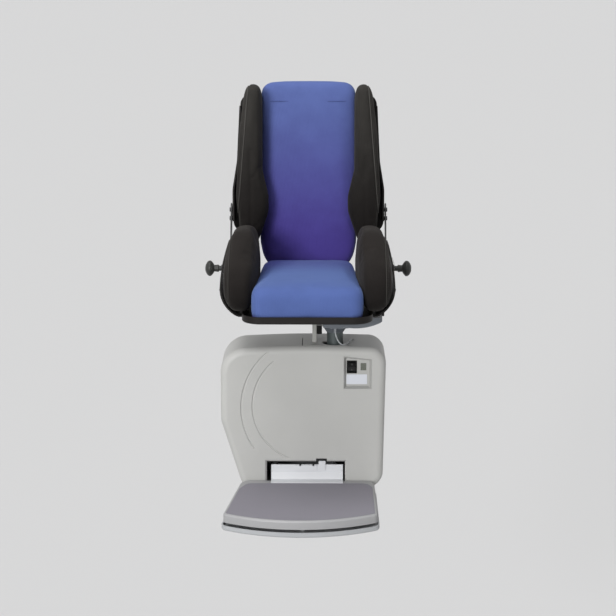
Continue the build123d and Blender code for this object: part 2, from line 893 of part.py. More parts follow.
def groove_profile(core_radius, half_width, bore):
    """Half section of a roller whose tread is hollowed to the rail tube."""
    groove = rail_radius + rest_gap
    middle = core_radius + groove
    rim = middle - (groove ** 2 - half_width ** 2) ** 0.5
    with BuildLine() as profile:
        Polyline((bore, -half_width), (rim, -half_width))
        ThreePointArc((rim, -half_width), (core_radius, 0), (rim, half_width))
        Polyline((rim, half_width), (bore, half_width), (bore, -half_width))
    return profile.line


for roller_name, (roller_x, roller_z) in roller_places.items():
    with BuildPart() as rail_roller:
        roller_plane = Plane(origin=(roller_x, 0, roller_z), x_dir=(1, 0, 0), z_dir=(0, 0, 1))
        with BuildSketch(roller_plane):
            add(groove_profile(roller_core_radius, roller_half_width, axle_radius + fit_gap))
            make_face()
        revolve(axis=Axis((roller_x, 0, roller_z), (0, 1, 0)))
    rail_roller.part.label = roller_name
    export_step(rail_roller.part, f"parts/{roller_name}.step")

guide_y = -(rail_radius + guide_core_radius + rest_gap)
guide_front_y = guide_plate_y - guide_plate_thickness
guide_places = {"guide_roller_left": -guide_reach, "guide_roller_right": guide_reach}

# Trolley that holds the two rollers in front of the lower tube, upright to the first four.
with BuildPart() as lower_trolley:
    with BuildSketch(Plane.XZ.offset(-guide_plate_y)):
        with Locations((0, lower_rail_z)):
            RectangleRounded(2 * guide_reach + 26, 2 * (roller_half_width + guide_ear) + 2, 6)
    extrude(amount=guide_plate_thickness)
    rod_y(pivot_radius, 0, journal_front_y, guide_front_y + 1, lower_rail_z)
    for guide_x in guide_places.values():
        for side in (-1, 1):
            ear_low = lower_rail_z + side * (roller_half_width + slip_gap)
            ear_high = lower_rail_z + side * (roller_half_width + guide_ear)
            block(
                guide_x - 10, guide_x + 10, guide_plate_y - 1, guide_y + 9,
                min(ear_low, ear_high), max(ear_low, ear_high),
            )
        rod_z(
            guide_axle_radius, guide_x, guide_y, lower_rail_z - roller_half_width - guide_ear,
            lower_rail_z + roller_half_width + guide_ear,
        )

lower_trolley.part.label = "lower_trolley"
export_step(lower_trolley.part, "parts/lower_trolley.step")

for guide_name, guide_x in guide_places.items():
    with BuildPart() as guide_roller:
        guide_plane = Plane(origin=(guide_x, guide_y, lower_rail_z), x_dir=(1, 0, 0), z_dir=(0, -1, 0))
        with BuildSketch(guide_plane):
            add(groove_profile(guide_core_radius, roller_half_width, guide_axle_radius + fit_gap))
            make_face()
        revolve(axis=Axis((guide_x, guide_y, lower_rail_z), (0, 0, 1)))
    guide_roller.part.label = guide_name
    export_step(guide_roller.part, f"parts/{guide_name}.step")


# --------------------------------------------------------------------- console

panel_rear_y = console_face_y + console_wall
switch_front_y = console_face_y - switch_proud
console_corners = [
    (console_left_x + rest_gap, console_bottom_z + rest_gap),
    (console_right_x - rest_gap, console_bottom_z + rest_gap),
    (console_right_x - rest_gap, console_top_z - console_top_drop - rest_gap),
    (console_left_x + rest_gap, console_top_z - rest_gap),
]

# Pocket that is set into the cover, with the switch and display in its floor.
with BuildPart() as console_panel:
    console_plane = Plane.XZ.offset(-panel_rear_y)
    with BuildSketch(console_plane):
        with BuildLine():
            FilletPolyline(console_corners, radius=2.0, close=True)
        make_face()
    extrude(amount=panel_rear_y - cover_front_y - 0.4)
    loft(
        [
            rounded_face(Plane.XZ.offset(-console_face_y), console_corners, 3.0, console_wall_slope),
            rounded_face(Plane.XZ.offset(-cover_front_y - 0.4), console_corners, 3.0, 0.8),
        ],
        mode=Mode.SUBTRACT,
    )
    with BuildSketch(console_plane):
        with Locations((switch_x, switch_z)):
            Rectangle(switch_width - 2 + 2 * fit_gap, switch_height - 2 + 2 * fit_gap)
        with Locations((display_x, display_z)):
            Rectangle(display_width - 2 + 2 * fit_gap, display_height - 2 + 2 * fit_gap)
    extrude(amount=console_wall + 1, mode=Mode.SUBTRACT)

console_panel.part.label = "console_panel"
export_step(console_panel.part, "parts/console_panel.step")

rocker_width = switch_width - 2 * switch_bezel - 2
rocker_height = switch_height - 2 * switch_bezel - 2
rocker_axis_y = console_face_y + 4.0

with BuildPart() as switch_frame:
    block(
        switch_x - switch_width / 2, switch_x + switch_width / 2, switch_front_y, console_face_y,
        switch_z - switch_height / 2, switch_z + switch_height / 2,
    )
    chamfer(switch_frame.faces().sort_by(Axis.Y)[0].edges(), length=0.8)
    block(
        switch_x - switch_width / 2 + 1, switch_x + switch_width / 2 - 1, console_face_y - 0.5,
        console_face_y + switch_depth, switch_z - switch_height / 2 + 1, switch_z + switch_height / 2 - 1,
    )
    block(
        switch_x - rocker_width / 2 - slip_gap, switch_x + rocker_width / 2 + slip_gap,
        switch_front_y - 1, console_face_y + switch_depth - 6,
        switch_z - rocker_height / 2 - slip_gap, switch_z + rocker_height / 2 + slip_gap, mode=Mode.SUBTRACT,
    )
    rod_x(
        1.5 + fit_gap, switch_x - switch_width / 2 + 1.6, switch_x + switch_width / 2 - 1.6, rocker_axis_y,
        switch_z, mode=Mode.SUBTRACT,
    )
    for step in (-6, 6):
        block(
            switch_x + step - 2, switch_x + step + 2, console_face_y + switch_depth - 1,
            console_face_y + switch_depth + 8, switch_z - 0.5, switch_z + 0.5,
        )

switch_frame.part.label = "switch_frame"
export_step(switch_frame.part, "parts/switch_frame.step")

# Rocker with two faces that meet at its axis, so that one half always stands out.
with BuildPart() as rocker_button:
    with BuildSketch(Plane.YZ.offset(switch_x - rocker_width / 2)):
        with BuildLine():
            Polyline(
                (switch_front_y + 0.4, switch_z),
                (switch_front_y - 1.6, switch_z + rocker_height / 2),
                (rocker_axis_y + 1, switch_z + rocker_height / 2),
                (rocker_axis_y + 6, switch_z),
                (rocker_axis_y + 1, switch_z - rocker_height / 2),
                (switch_front_y - 1.6, switch_z - rocker_height / 2),
                close=True,
            )
        make_face()
    extrude(amount=rocker_width)
    swing_radius = rocker_height / 2
    with BuildSketch(Plane.YZ.offset(switch_x - rocker_width)):
        with Locations((rocker_axis_y, switch_z)):
            Circle(swing_radius)
    extrude(amount=2 * rocker_width, mode=Mode.INTERSECT)
    rod_x(1.5, switch_x - switch_width / 2 + 2, switch_x + switch_width / 2 - 2, rocker_axis_y, switch_z)

rocker_button.part.label = "rocker_button"
export_step(rocker_button.part, "parts/rocker_button.step")

with BuildPart() as display_window:
    block(
        display_x - display_width / 2, display_x + display_width / 2, console_face_y - display_proud,
        console_face_y, display_z - display_height / 2, display_z + display_height / 2,
    )
    block(
        display_x - display_width / 2 + 1, display_x + display_width / 2 - 1, console_face_y - 0.3,
        panel_rear_y + 2, display_z - display_height / 2 + 1, display_z + display_height / 2 - 1,
    )

display_window.part.label = "display_window"
export_step(display_window.part, "parts/display_window.step")

with BuildPart() as label_plate:
    block(
        label_x - label_width / 2, label_x + label_width / 2, console_face_y - label_thickness,
        console_face_y, label_z - label_height / 2, label_z + label_height / 2,
    )
    fillet(label_plate.edges().filter_by(Axis.Y), radius=1.2)

label_plate.part.label = "label_plate"
export_step(label_plate.part, "parts/label_plate.step")


# -------------------------------------------------------------------- footrest

platform_low_z = platform_top_z - platform_shell_height
frame_plate_top_z = platform_low_z
frame_plate_low_z = frame_plate_top_z - frame_plate_thickness
tray_top_z = frame_plate_low_z - sensor_gap
tray_low_z = tray_top_z - safety_tray_height
cheek_spans = [
    (cheek_left_x, cheek_left_x + cheek_thickness),
    (cheek_right_x - cheek_thickness, cheek_right_x),
]
stop_front_y = hinge_y + cheek_round

# Fixed half of the footrest hinge: base on the chassis plate, two cheeks and the stop bar between them.
with BuildPart() as footrest_bracket:
    block(
        cheek_left_x, cheek_right_x, chassis_front_y - bracket_base, chassis_front_y,
        bracket_bottom_z, bracket_top_z,
    )
    for cheek_x0, cheek_x1 in cheek_spans:
        block(cheek_x0, cheek_x1, hinge_y, chassis_front_y - 1, hinge_z - cheek_round, bracket_top_z)
        block(cheek_x0, cheek_x1, stop_front_y, chassis_front_y - 1, bracket_bottom_z, hinge_z)
        rod_x(cheek_round, cheek_x0, cheek_x1, hinge_y, hinge_z)
        rod_x(hinge_radius + fit_gap, cheek_x0 - 1, cheek_x1 + 1, hinge_y, hinge_z, mode=Mode.SUBTRACT)
    block(
        cheek_left_x, cheek_right_x, stop_front_y, stop_front_y + 6, bracket_bottom_z,
        hinge_z - cheek_round - 4,
    )
    rod_y(
        pivot_radius + 1.5, 0, journal_front_y - 0.5, chassis_front_y + 1, lower_rail_z, mode=Mode.SUBTRACT,
    )
    for bolt_x, bolt_z in bracket_bolts:
        rod_y(
            bolt_radius + fit_gap, bolt_x, chassis_front_y - bracket_base - 1, chassis_front_y + 1, bolt_z,
            mode=Mode.SUBTRACT,
        )

footrest_bracket.part.label = "footrest_bracket"
export_step(footrest_bracket.part, "parts/footrest_bracket.step")

with BuildPart() as footrest_pin:
    rod_x(hinge_radius, cheek_left_x - 3, cheek_right_x + 3, hinge_y, hinge_z)
    rod_x(hinge_radius + 2, cheek_left_x - 3, cheek_left_x - rest_gap, hinge_y, hinge_z)
    rod_x(hinge_radius + 2, cheek_right_x + rest_gap, cheek_right_x + 3, hinge_y, hinge_z)

footrest_pin.part.label = "footrest_pin"
export_step(footrest_pin.part, "parts/footrest_pin.step")


def platform_face(z, inset, back_y=platform_back_y, corner_cut=False):
    """Outline of the platform at a height, drawn in by an inset and cut straight at the back."""
    with BuildSketch(Plane.XY.offset(z)) as face:
        with BuildLine():
            Polyline(
                (platform_front_left_x, platform_corner_y),
                (platform_back_left_x, platform_back_y),
                (platform_back_right_x, platform_back_y),
                (platform_front_right_x, platform_corner_y),
            )
            ThreePointArc(
                (platform_front_right_x, platform_corner_y),
                ((platform_front_left_x + platform_front_right_x) / 2, platform_front_y),
                (platform_front_left_x, platform_corner_y),
            )
        make_face()
        back_corners = face.vertices().group_by(Axis.Y)[-1]
        fillet(back_corners, radius=platform_back_round)
        fillet(face.vertices().group_by(Axis.Y)[0], radius=platform_front_round)
        if inset:
            offset(amount=-inset)
        if back_y < platform_back_y - inset:
            with Locations((0, back_y + 200)):
                Rectangle(600, 400, mode=Mode.SUBTRACT)
            if corner_cut:
                ends = face.vertices().group_by(Axis.Y)[-1].sort_by(Axis.X)
                for corner, side in ((ends[0], 1), (ends[-1], -1)):
                    with BuildLine():
                        Polyline(
                            (corner.X - side * 30, corner.Y + 1),
                            (corner.X + side * mat_cut_width, corner.Y + 1),
                            (corner.X + side * mat_cut_width, corner.Y),
                            (corner.X - side * 4, corner.Y - mat_cut_depth),
                            (corner.X - side * 30, corner.Y - mat_cut_depth),
                            close=True,
                        )
                    make_face(mode=Mode.SUBTRACT)
            back_round = mat_cut_round if corner_cut else mat_corner_round
            fillet(face.vertices().group_by(Axis.Y)[-1], radius=back_round)
    return face.sketch


barrel_left_x = cheek_left_x + cheek_thickness + slip_gap
barrel_right_x = cheek_right_x - cheek_thickness - slip_gap
arm_spans = [(barrel_left_x, barrel_left_x + 12), (barrel_right_x - 12, barrel_right_x)]
barrel_radius = hinge_radius + barrel_wall
spring_places = [(-120.0, -260.0), (120.0, -260.0), (-120.0, -410.0), (120.0, -410.0)]
guide_pin_places = [(-140.0, -330.0), (140.0, -330.0), (0.0, -450.0), (0.0, -240.0)]

# Moving half of the hinge: barrel, two drop arms and the plate under the platform, with its guide pins.
with BuildPart() as footrest_frame:
    extrude(platform_face(frame_plate_low_z, frame_inset), amount=frame_plate_thickness)
    for arm_x0, arm_x1 in arm_spans:
        block(arm_x0, arm_x1, hinge_y - barrel_radius, stop_front_y - slip_gap, frame_plate_low_z, hinge_z)
        block(arm_x0, arm_x1, platform_back_y - 60, hinge_y, frame_plate_low_z, frame_plate_top_z)
        block(
            arm_x0, arm_x1, platform_back_y - 120, platform_back_y - platform_wall - 1,
            frame_plate_low_z, frame_plate_top_z + 12,
        )
    rod_x(barrel_radius, barrel_left_x, barrel_right_x, hinge_y, hinge_z)
    rod_x(hinge_radius + fit_gap, barrel_left_x - 1, barrel_right_x + 1, hinge_y, hinge_z, mode=Mode.SUBTRACT)
    for pin_x, pin_y in guide_pin_places:
        rod_z(3, pin_x, pin_y, tray_low_z + safety_tray_wall + sensor_travel + 1, frame_plate_low_z)

footrest_frame.part.label = "footrest_frame"
export_step(footrest_frame.part, "parts/footrest_frame.step")

with BuildPart() as footrest_shell:
    extrude(platform_face(platform_low_z, 0), amount=platform_shell_height)
    fillet(footrest_shell.faces().sort_by(Axis.Z)[-1].edges(), radius=platform_top_round)
    extrude(
        platform_face(platform_low_z, platform_wall),
        amount=platform_shell_height - platform_wall - mat_thickness, mode=Mode.SUBTRACT,
    )
    extrude(
        platform_face(
            platform_top_z - mat_thickness, mat_margin, platform_back_y - mat_back_margin, corner_cut=True,
        ),
        amount=mat_thickness + 1, mode=Mode.SUBTRACT,
    )

footrest_shell.part.label = "footrest_shell"
export_step(footrest_shell.part, "parts/footrest_shell.step")

with BuildPart() as footrest_mat:
    extrude(
        platform_face(
            platform_top_z - mat_thickness, mat_margin + rest_gap,
            platform_back_y - mat_back_margin - rest_gap, corner_cut=True,
        ),
        amount=mat_thickness + 0.4,
    )

footrest_mat.part.label = "footrest_mat"
export_step(footrest_mat.part, "parts/footrest_mat.step")

flap_front_y = hinge_y - flap_setout - flap_thickness
flap_top_z = hinge_z + flap_rise
flap_bend_z = flap_top_z - 18.0
foot_thickness = mat_thickness - 0.2
mat_back_y = platform_back_y - mat_back_margin
relief_left_x = -20.0
relief_right_x = 30.0
relief_low_z = flap_top_z - 14.0
relief_height = 2.0
nick_width = 4.4
nick_depth = 3.4

# White cover over the moving half of the hinge, with a raised latch relief and a tab under the notch.
with BuildPart() as hinge_cover:
    with BuildSketch(Plane.YZ.offset(flap_left_x)):
        with BuildLine():
            Polyline(
                (flap_front_y, flap_top_z),
                (flap_front_y, flap_bend_z),
                (platform_back_y + 1.2, platform_top_z + foot_thickness),
                (mat_back_y + rest_gap, platform_top_z + foot_thickness),
                (mat_back_y + rest_gap, platform_top_z),
                (platform_back_y + 4.0, platform_top_z),
                (flap_front_y + flap_thickness, flap_bend_z - 1.4),
                (flap_front_y + flap_thickness, flap_top_z),
                close=True,
            )
        make_face()
    extrude(amount=flap_right_x - flap_left_x)
    fillet(hinge_cover.edges().filter_by(Axis.X).group_by(Axis.Z)[-1].sort_by(Axis.Y)[0], radius=2.0)
    block(
        relief_left_x, relief_right_x, flap_front_y - relief_height, flap_front_y + 1,
        relief_low_z, flap_top_z - 1.0,
    )
    for nick_x in (relief_left_x + 12.0, relief_right_x - 8.0):
        block(
            nick_x - nick_width / 2, nick_x + nick_width / 2, flap_front_y - 5, flap_front_y + 5,
            flap_top_z - nick_depth, flap_top_z + 1, mode=Mode.SUBTRACT,
        )
    block(
        notch_left_x + tab_margin + 3.0, notch_right_x - tab_margin, flap_front_y - relief_height - 0.4,
        flap_front_y + flap_thickness, flap_top_z - 13, flap_top_z + tab_rise,
    )
    fillet(
        hinge_cover.edges().filter_by(Axis.Y).filter_by_position(Axis.Z, flap_top_z + 1, flap_top_z + 30),
        radius=2.5,
    )
    for arm_x0, arm_x1 in arm_spans:
        block(
            arm_x0 + 2, arm_x1 - 2, flap_front_y - 3, hinge_y - barrel_radius,
            platform_top_z, platform_top_z + 8,
        )

hinge_cover.part.label = "hinge_cover"
export_step(hinge_cover.part, "parts/hinge_cover.step")

# Pan that hangs under the platform and lifts when something is under it.
with BuildPart() as safety_tray:
    extrude(platform_face(tray_low_z, -safety_tray_proud), amount=safety_tray_height)
    fillet(safety_tray.faces().sort_by(Axis.Z)[0].edges(), radius=4)
    extrude(
        platform_face(tray_low_z + safety_tray_wall, safety_tray_wall - safety_tray_proud),
        amount=safety_tray_height, mode=Mode.SUBTRACT,
    )
    block(
        -400, 400, platform_back_y + 0.5, platform_back_y + 60, tray_low_z - 1, tray_top_z + 1,
        mode=Mode.SUBTRACT,
    )
    for pin_x, pin_y in guide_pin_places:
        rod_z(6, pin_x, pin_y, tray_low_z + safety_tray_wall - 1, tray_top_z - sensor_travel)
        rod_z(3 + fit_gap, pin_x, pin_y, tray_low_z + safety_tray_wall, tray_top_z, mode=Mode.SUBTRACT)

safety_tray.part.label = "safety_tray"
export_step(safety_tray.part, "parts/safety_tray.step")

# Short springs between the plate and the pan, each as the tube it fills.
with BuildPart() as tray_springs:
    for spring_x, spring_y in spring_places:
        rod_z(tray_spring_radius, spring_x, spring_y, tray_low_z + safety_tray_wall, frame_plate_low_z)
        rod_z(
            tray_spring_radius - 1.2, spring_x, spring_y, tray_low_z + safety_tray_wall - 1,
            frame_plate_low_z + 1, mode=Mode.SUBTRACT,
        )

tray_springs.part.label = "tray_springs"
export_step(tray_springs.part, "parts/tray_springs.step")


# ------------------------------------------------------ swivel head and subframe

head_left_x = post_x - race_radius
head_right_x = post_x + head_arm_reach
head_top_z = subframe_bottom_z
subframe_left_x = seat_middle_x - tray_width / 2 + subframe_left_inset
subframe_right_x = seat_middle_x + tray_width / 2 - subframe_right_inset
subframe_front_y = seat_front_y + 40
subframe_back_y = tray_back_y - 20

# Upper race and the dished casting that carries the seat and reaches out to the lever.
with BuildPart() as swivel_head:
    with BuildSketch(Plane.XY.offset(head_bottom_z)):
        with Locations((post_x - race_radius - 1 + head_foot_width / 2, post_y)):
            SlotOverall(head_foot_width, head_foot_depth)
    extrude(amount=10)
    with BuildSketch(Plane.XZ.offset(-(post_y + head_depth / 2))):
        with BuildLine():
            Polyline(
                (head_left_x + 1, head_top_z),
                (head_left_x + 1, head_bottom_z + 9),
                (post_x + race_radius, head_bottom_z + 9),
            )
            ThreePointArc(
                (post_x + race_radius, head_bottom_z + 9),
                (post_x + 0.76 * head_arm_reach, head_bottom_z + 12.5),
                (head_right_x, head_top_z - 9),
            )
            Line((head_right_x, head_top_z - 9), (head_right_x, head_top_z))
            Line((head_right_x, head_top_z), (head_left_x + 1, head_top_z))
        make_face()
    extrude(amount=head_depth)
    fillet(
        swivel_head.edges().filter_by(Axis.Z).filter_by_position(Axis.X, head_right_x - 1, head_right_x + 1),
        radius=8,
    )
    block(
        head_right_x - lever_length - 13, head_right_x + 1, post_y - lever_width / 2 - slip_gap,
        post_y + lever_width / 2 + slip_gap, head_top_z - lever_thickness - 2, head_top_z + 1,
        mode=Mode.SUBTRACT,
    )
    lever_pin_x = head_right_x - lever_length + 4
    lever_z = head_top_z - lever_thickness / 2 - 0.8
    rod_y(
        lever_pin_radius, lever_pin_x, post_y - lever_width / 2 - 1, post_y + lever_width / 2 + 1, lever_z,
    )

swivel_head.part.label = "swivel_head"
export_step(swivel_head.part, "parts/swivel_head.step")

# Flat lever that lies in the casting's slot and frees the swivel when its end is lifted.
with BuildPart() as swivel_lever:
    block(
        lever_pin_x - lever_thickness / 2, head_right_x - grip_length / 2,
        post_y - lever_width / 2, post_y + lever_width / 2,
        lever_z - lever_thickness / 2, lever_z + lever_thickness / 2,
    )
    rod_y(
        lever_pin_radius + fit_gap, lever_pin_x, post_y - lever_width, post_y + lever_width, lever_z,
        mode=Mode.SUBTRACT,
    )
    block(
        head_right_x - grip_length / 2 - 1, head_right_x + 4, post_y - lever_width / 2 + 4,
        post_y + lever_width / 2 - 4, lever_z - 1.5, lever_z + 1.5,
    )

swivel_lever.part.label = "swivel_lever"
export_step(swivel_lever.part, "parts/swivel_lever.step")

with BuildPart() as lever_grip:
    block(
        head_right_x - grip_length / 2 + 0.5, head_right_x + 6, post_y - lever_width / 2,
        post_y + lever_width / 2, lever_z - lever_thickness / 2, lever_z + lever_thickness / 2 + 2,
    )
    fillet(lever_grip.edges().filter_by(Axis.Y), radius=2)
    block(
        head_right_x - grip_length / 2, head_right_x + 4 + fit_gap, post_y - lever_width / 2 + 4 - fit_gap,
        post_y + lever_width / 2 - 4 + fit_gap, lever_z - 1.5 - fit_gap, lever_z + 1.5 + fit_gap,
        mode=Mode.SUBTRACT,
    )

lever_grip.part.label = "lever_grip"
export_step(lever_grip.part, "parts/lever_grip.step")

with BuildPart() as seat_subframe:
    block(
        subframe_left_x, subframe_right_x, subframe_front_y, subframe_back_y,
        tray_bottom_z - subframe_plate, tray_bottom_z,
    )
    fillet(seat_subframe.edges().filter_by(Axis.Z), radius=16)
    block(
        head_left_x, subframe_right_x - 4, post_y - head_depth / 2 + 6, subframe_back_y - 4,
        subframe_bottom_z, tray_bottom_z - subframe_plate,
    )

seat_subframe.part.label = "seat_subframe"
export_step(seat_subframe.part, "parts/seat_subframe.step")


# ------------------------------------------------------------ tray and cushions

def padded_face(plane, corners, rounds, inset):
    """Section of a padded form: the outline and its corner rounds, drawn in towards its middle."""
    xs = [x for x, y in corners]
    ys = [y for x, y in corners]
    middle_x = (min(xs) + max(xs)) / 2
    middle_y = (min(ys) + max(ys)) / 2
    shrink_x = 1 - 2 * inset / (max(xs) - min(xs))
    shrink_y = 1 - 2 * inset / (max(ys) - min(ys))
    drawn_in = [
        (middle_x + (x - middle_x) * shrink_x, middle_y + (y - middle_y) * shrink_y) for x, y in corners
    ]
    with BuildSketch(plane) as face:
        with BuildLine():
            FilletPolyline(drawn_in, radius=[value * min(shrink_x, shrink_y) for value in rounds], close=True)
        make_face()
    return face.sketch.face()


tray_corners = [
    (seat_middle_x - tray_width / 2, seat_front_y),
    (seat_middle_x + tray_width / 2, seat_front_y),
    (seat_middle_x + tray_width / 2, tray_back_y),
    (seat_middle_x - tray_width / 2, tray_back_y),
]
tray_rounds = [tray_front_round, tray_front_round, tray_back_round, tray_back_round]

with BuildPart() as seat_tray:
    extrude(rounded_face(Plane.XY.offset(tray_bottom_z), tray_corners, tray_rounds), amount=tray_rim)
    extrude(
        rounded_face(Plane.XY.offset(tray_bottom_z + tray_floor), tray_corners, tray_rounds, tray_floor),
        amount=tray_rim, mode=Mode.SUBTRACT,
    )
    chamfer(seat_tray.faces().sort_by(Axis.Z)[0].outer_wire().edges(), length=2.0)

seat_tray.part.label = "seat_tray"
export_step(seat_tray.part, "parts/seat_tray.step")

seat_corners = [
    (seat_middle_x - cushion_front_width / 2, seat_front_y + 1.0 + tray_floor),
    (seat_middle_x + cushion_front_width / 2, seat_front_y + 1.0 + tray_floor),
    (seat_middle_x + cushion_back_width / 2, seat_back_y),
    (seat_middle_x - cushion_back_width / 2, seat_back_y),
]
seat_levels = [
    (0.0, 9.0), (4.0, 2.5), (10.0, 0.0), (cushion_thickness - 22.0, 0.0), (cushion_thickness - 13.0, 2.5),
    (cushion_thickness - 7.0, 7.5), (cushion_thickness - cushion_crown, 15.0),
    (cushion_thickness - cushion_crown * 0.4, 34.0), (cushion_thickness, 72.0),
]

with BuildPart() as seat_cushion:
    loft(
        [
            padded_face(Plane.XY.offset(cushion_bottom_z + rise), seat_corners, [cushion_corner] * 4, inset)
            for rise, inset in seat_levels
        ],
        ruled=True,
    )

seat_cushion.part.label = "seat_cushion"
export_step(seat_cushion.part, "parts/seat_cushion.step")

# Hip pads stand on the tray's rim, toed in along the cushion's tapered sides.
side_slope = atan((cushion_front_width - cushion_back_width) / 2 / (seat_back_y - seat_front_y))
pad_low_z = tray_bottom_z + tray_rim + slip_gap
pad_front = hip_pad_front_y - seat_front_y
pad_back = hip_pad_back_y - seat_front_y
hip_corners = [
    (pad_front, pad_low_z),
    (pad_back, pad_low_z),
    (pad_back - 10.0, hip_pad_top_z),
    (pad_back - 125.0, hip_pad_top_z),
    (pad_front - 2.0, pad_low_z + 88.0),
]
hip_rounds = [38.0, 38.0, 48.0, 70.0, 55.0]
hip_levels = [
    (0.0, 26.0), (3.0, 12.0), (9.0, 3.0), (18.0, 0.0), (hip_pad_thickness - 27.0, 0.0),
    (hip_pad_thickness - 15.0, 5.0), (hip_pad_thickness - 6.5, 15.0), (hip_pad_thickness - 2.0, 26.0),
    (hip_pad_thickness, 38.0),
]


def hip_plane(outward):
    side_x = seat_middle_x - cushion_front_width / 2 - hip_pad_gap - outward * cos(side_slope)
    side_y = seat_front_y + outward * sin(side_slope)
    return Plane(
        origin=(side_x, side_y, 0),
        x_dir=(sin(side_slope), cos(side_slope), 0),
        z_dir=(cos(side_slope), -sin(side_slope), 0),
    )


with BuildPart() as hip_pad_left:
    loft(
        [padded_face(hip_plane(out), hip_corners, hip_rounds, inset) for out, inset in hip_levels],
        ruled=True,
    )

hip_pad_left.part.label = "hip_pad_left"
export_step(hip_pad_left.part, "parts/hip_pad_left.step")

seat_middle_plane = Plane.YZ.offset(seat_middle_x)

with BuildPart() as hip_pad_right:
    mirror(hip_pad_left.part, about=seat_middle_plane)

hip_pad_right.part.label = "hip_pad_right"
export_step(hip_pad_right.part, "parts/hip_pad_right.step")


# ------------------------------------------------------------------ hip shells

def arc_reach(radius, height):
    """How far the shell's outer or inner arc reaches from the seat's middle at a height."""
    base = hip_shell_low_arc if height < hip_shell_bulge_z else hip_shell_high_arc
    return hip_shell_bulge - base + ((base - radius) ** 2 - (height - hip_shell_bulge_z) ** 2) ** 0.5


shell_foot_z = tray_bottom_z - hip_shell_wall
shell_mid_low_z = (shell_foot_z + hip_shell_bulge_z) / 2
shell_mid_high_z = (hip_shell_top_z + hip_shell_bulge_z) / 2


def shell_point(depth, height):
    return (seat_middle_x - arc_reach(depth, height), height)


with BuildPart() as hip_shell_left:
    with BuildSketch(Plane.XZ.offset(-hip_shell_back_y)):
        with BuildLine():
            Line((seat_middle_x - hip_shell_foot, shell_foot_z), shell_point(0, shell_foot_z))
            ThreePointArc(
                shell_point(0, shell_foot_z), shell_point(0, shell_mid_low_z),
                shell_point(0, hip_shell_bulge_z),
            )
            ThreePointArc(
                shell_point(0, hip_shell_bulge_z), shell_point(0, shell_mid_high_z),
                shell_point(0, hip_shell_top_z),
            )
            Line(shell_point(0, hip_shell_top_z), shell_point(hip_shell_wall, hip_shell_top_z))
            ThreePointArc(
                shell_point(hip_shell_wall, hip_shell_top_z), shell_point(hip_shell_wall, shell_mid_high_z),
                shell_point(hip_shell_wall, hip_shell_bulge_z),
            )
            ThreePointArc(
                shell_point(hip_shell_wall, hip_shell_bulge_z), shell_point(hip_shell_wall, shell_mid_low_z),
                shell_point(hip_shell_wall, tray_bottom_z),
            )
            Line(
                shell_point(hip_shell_wall, tray_bottom_z), (seat_middle_x - hip_shell_foot, tray_bottom_z)
            )
            Line(
                (seat_middle_x - hip_shell_foot, tray_bottom_z),
                (seat_middle_x - hip_shell_foot, shell_foot_z),
            )
        make_face()
    extrude(amount=hip_shell_back_y - hip_shell_front_y)
    with BuildSketch(Plane.YZ.offset(seat_middle_x - 2 * hip_shell_bulge)):
        with BuildLine():
            FilletPolyline(
                (hip_shell_front_y, shell_foot_z - 1),
                (hip_shell_back_y, shell_foot_z - 1),
                (hip_shell_back_y, pivot_z + 46),
                (pivot_y - 25, pivot_z + 46),
                (pivot_y - 60, hip_shell_top_z),
                (pivot_y - 100, hip_shell_top_z),
                (hip_shell_front_y, shell_foot_z + 50),
                radius=[10, 10, 30, 12, 20, 30, 30], close=True,
            )
        make_face()
    extrude(amount=2 * hip_shell_bulge, mode=Mode.INTERSECT)
    rod_x(
        clamp_bolt_radius + fit_gap, seat_middle_x - hip_shell_bulge - 5, seat_middle_x - hip_shell_foot,
        pivot_y, pivot_z, mode=Mode.SUBTRACT,
    )

hip_shell_left.part.label = "hip_shell_left"
export_step(hip_shell_left.part, "parts/hip_shell_left.step")

with BuildPart() as hip_shell_right:
    mirror(hip_shell_left.part, about=seat_middle_plane)

hip_shell_right.part.label = "hip_shell_right"
export_step(hip_shell_right.part, "parts/hip_shell_right.step")

disc_inner = arm_inner + arm_wall + rest_gap
disc_outer = min(
    arc_reach(hip_shell_wall, pivot_z - recline_disc_radius),
    arc_reach(hip_shell_wall, pivot_z + recline_disc_radius),
) - rest_gap
washer_inner = hip_shell_bulge + rest_gap

# Friction discs between the shells and the back rest's arms.
with BuildPart() as recline_discs:
    for side in (-1, 1):
        inner_x = seat_middle_x + side * disc_inner
        outer_x = seat_middle_x + side * disc_outer
        rod_x(recline_disc_radius, min(inner_x, outer_x), max(inner_x, outer_x), pivot_y, pivot_z)
    rod_x(
        clamp_bolt_radius + fit_gap, seat_middle_x - disc_outer - 1, seat_middle_x + disc_outer + 1,
        pivot_y, pivot_z, mode=Mode.SUBTRACT,
    )

recline_discs.part.label = "recline_discs"
export_step(recline_discs.part, "parts/recline_discs.step")

pivot_plane = Plane(origin=(seat_middle_x, pivot_y, pivot_z), x_dir=(1, 0, 0), z_dir=(0, -1, 0))
pivot_axis = Axis((seat_middle_x, pivot_y, pivot_z), (1, 0, 0))

# Domed steel washers that spread the knobs' clamping force over the shells.
with BuildPart() as clamp_washers:
    for side in (-1, 1):
        with BuildSketch(pivot_plane):
            with BuildLine():
                Polyline(
                    (side * washer_inner, clamp_bolt_radius + fit_gap),
                    (side * washer_inner, washer_radius),
                    (side * (washer_inner + 1.5), washer_radius),
                )
                ThreePointArc(
                    (side * (washer_inner + 1.5), washer_radius),
                    (side * (washer_inner + 4.8), washer_radius * 0.68),
                    (side * (washer_inner + washer_height), washer_radius * 0.36),
                )
                Polyline(
                    (side * (washer_inner + washer_height), washer_radius * 0.36),
                    (side * (washer_inner + washer_height), clamp_bolt_radius + fit_gap),
                    (side * washer_inner, clamp_bolt_radius + fit_gap),
                )
            make_face()
        revolve(axis=pivot_axis)

clamp_washers.part.label = "clamp_washers"
export_step(clamp_washers.part, "parts/clamp_washers.step")

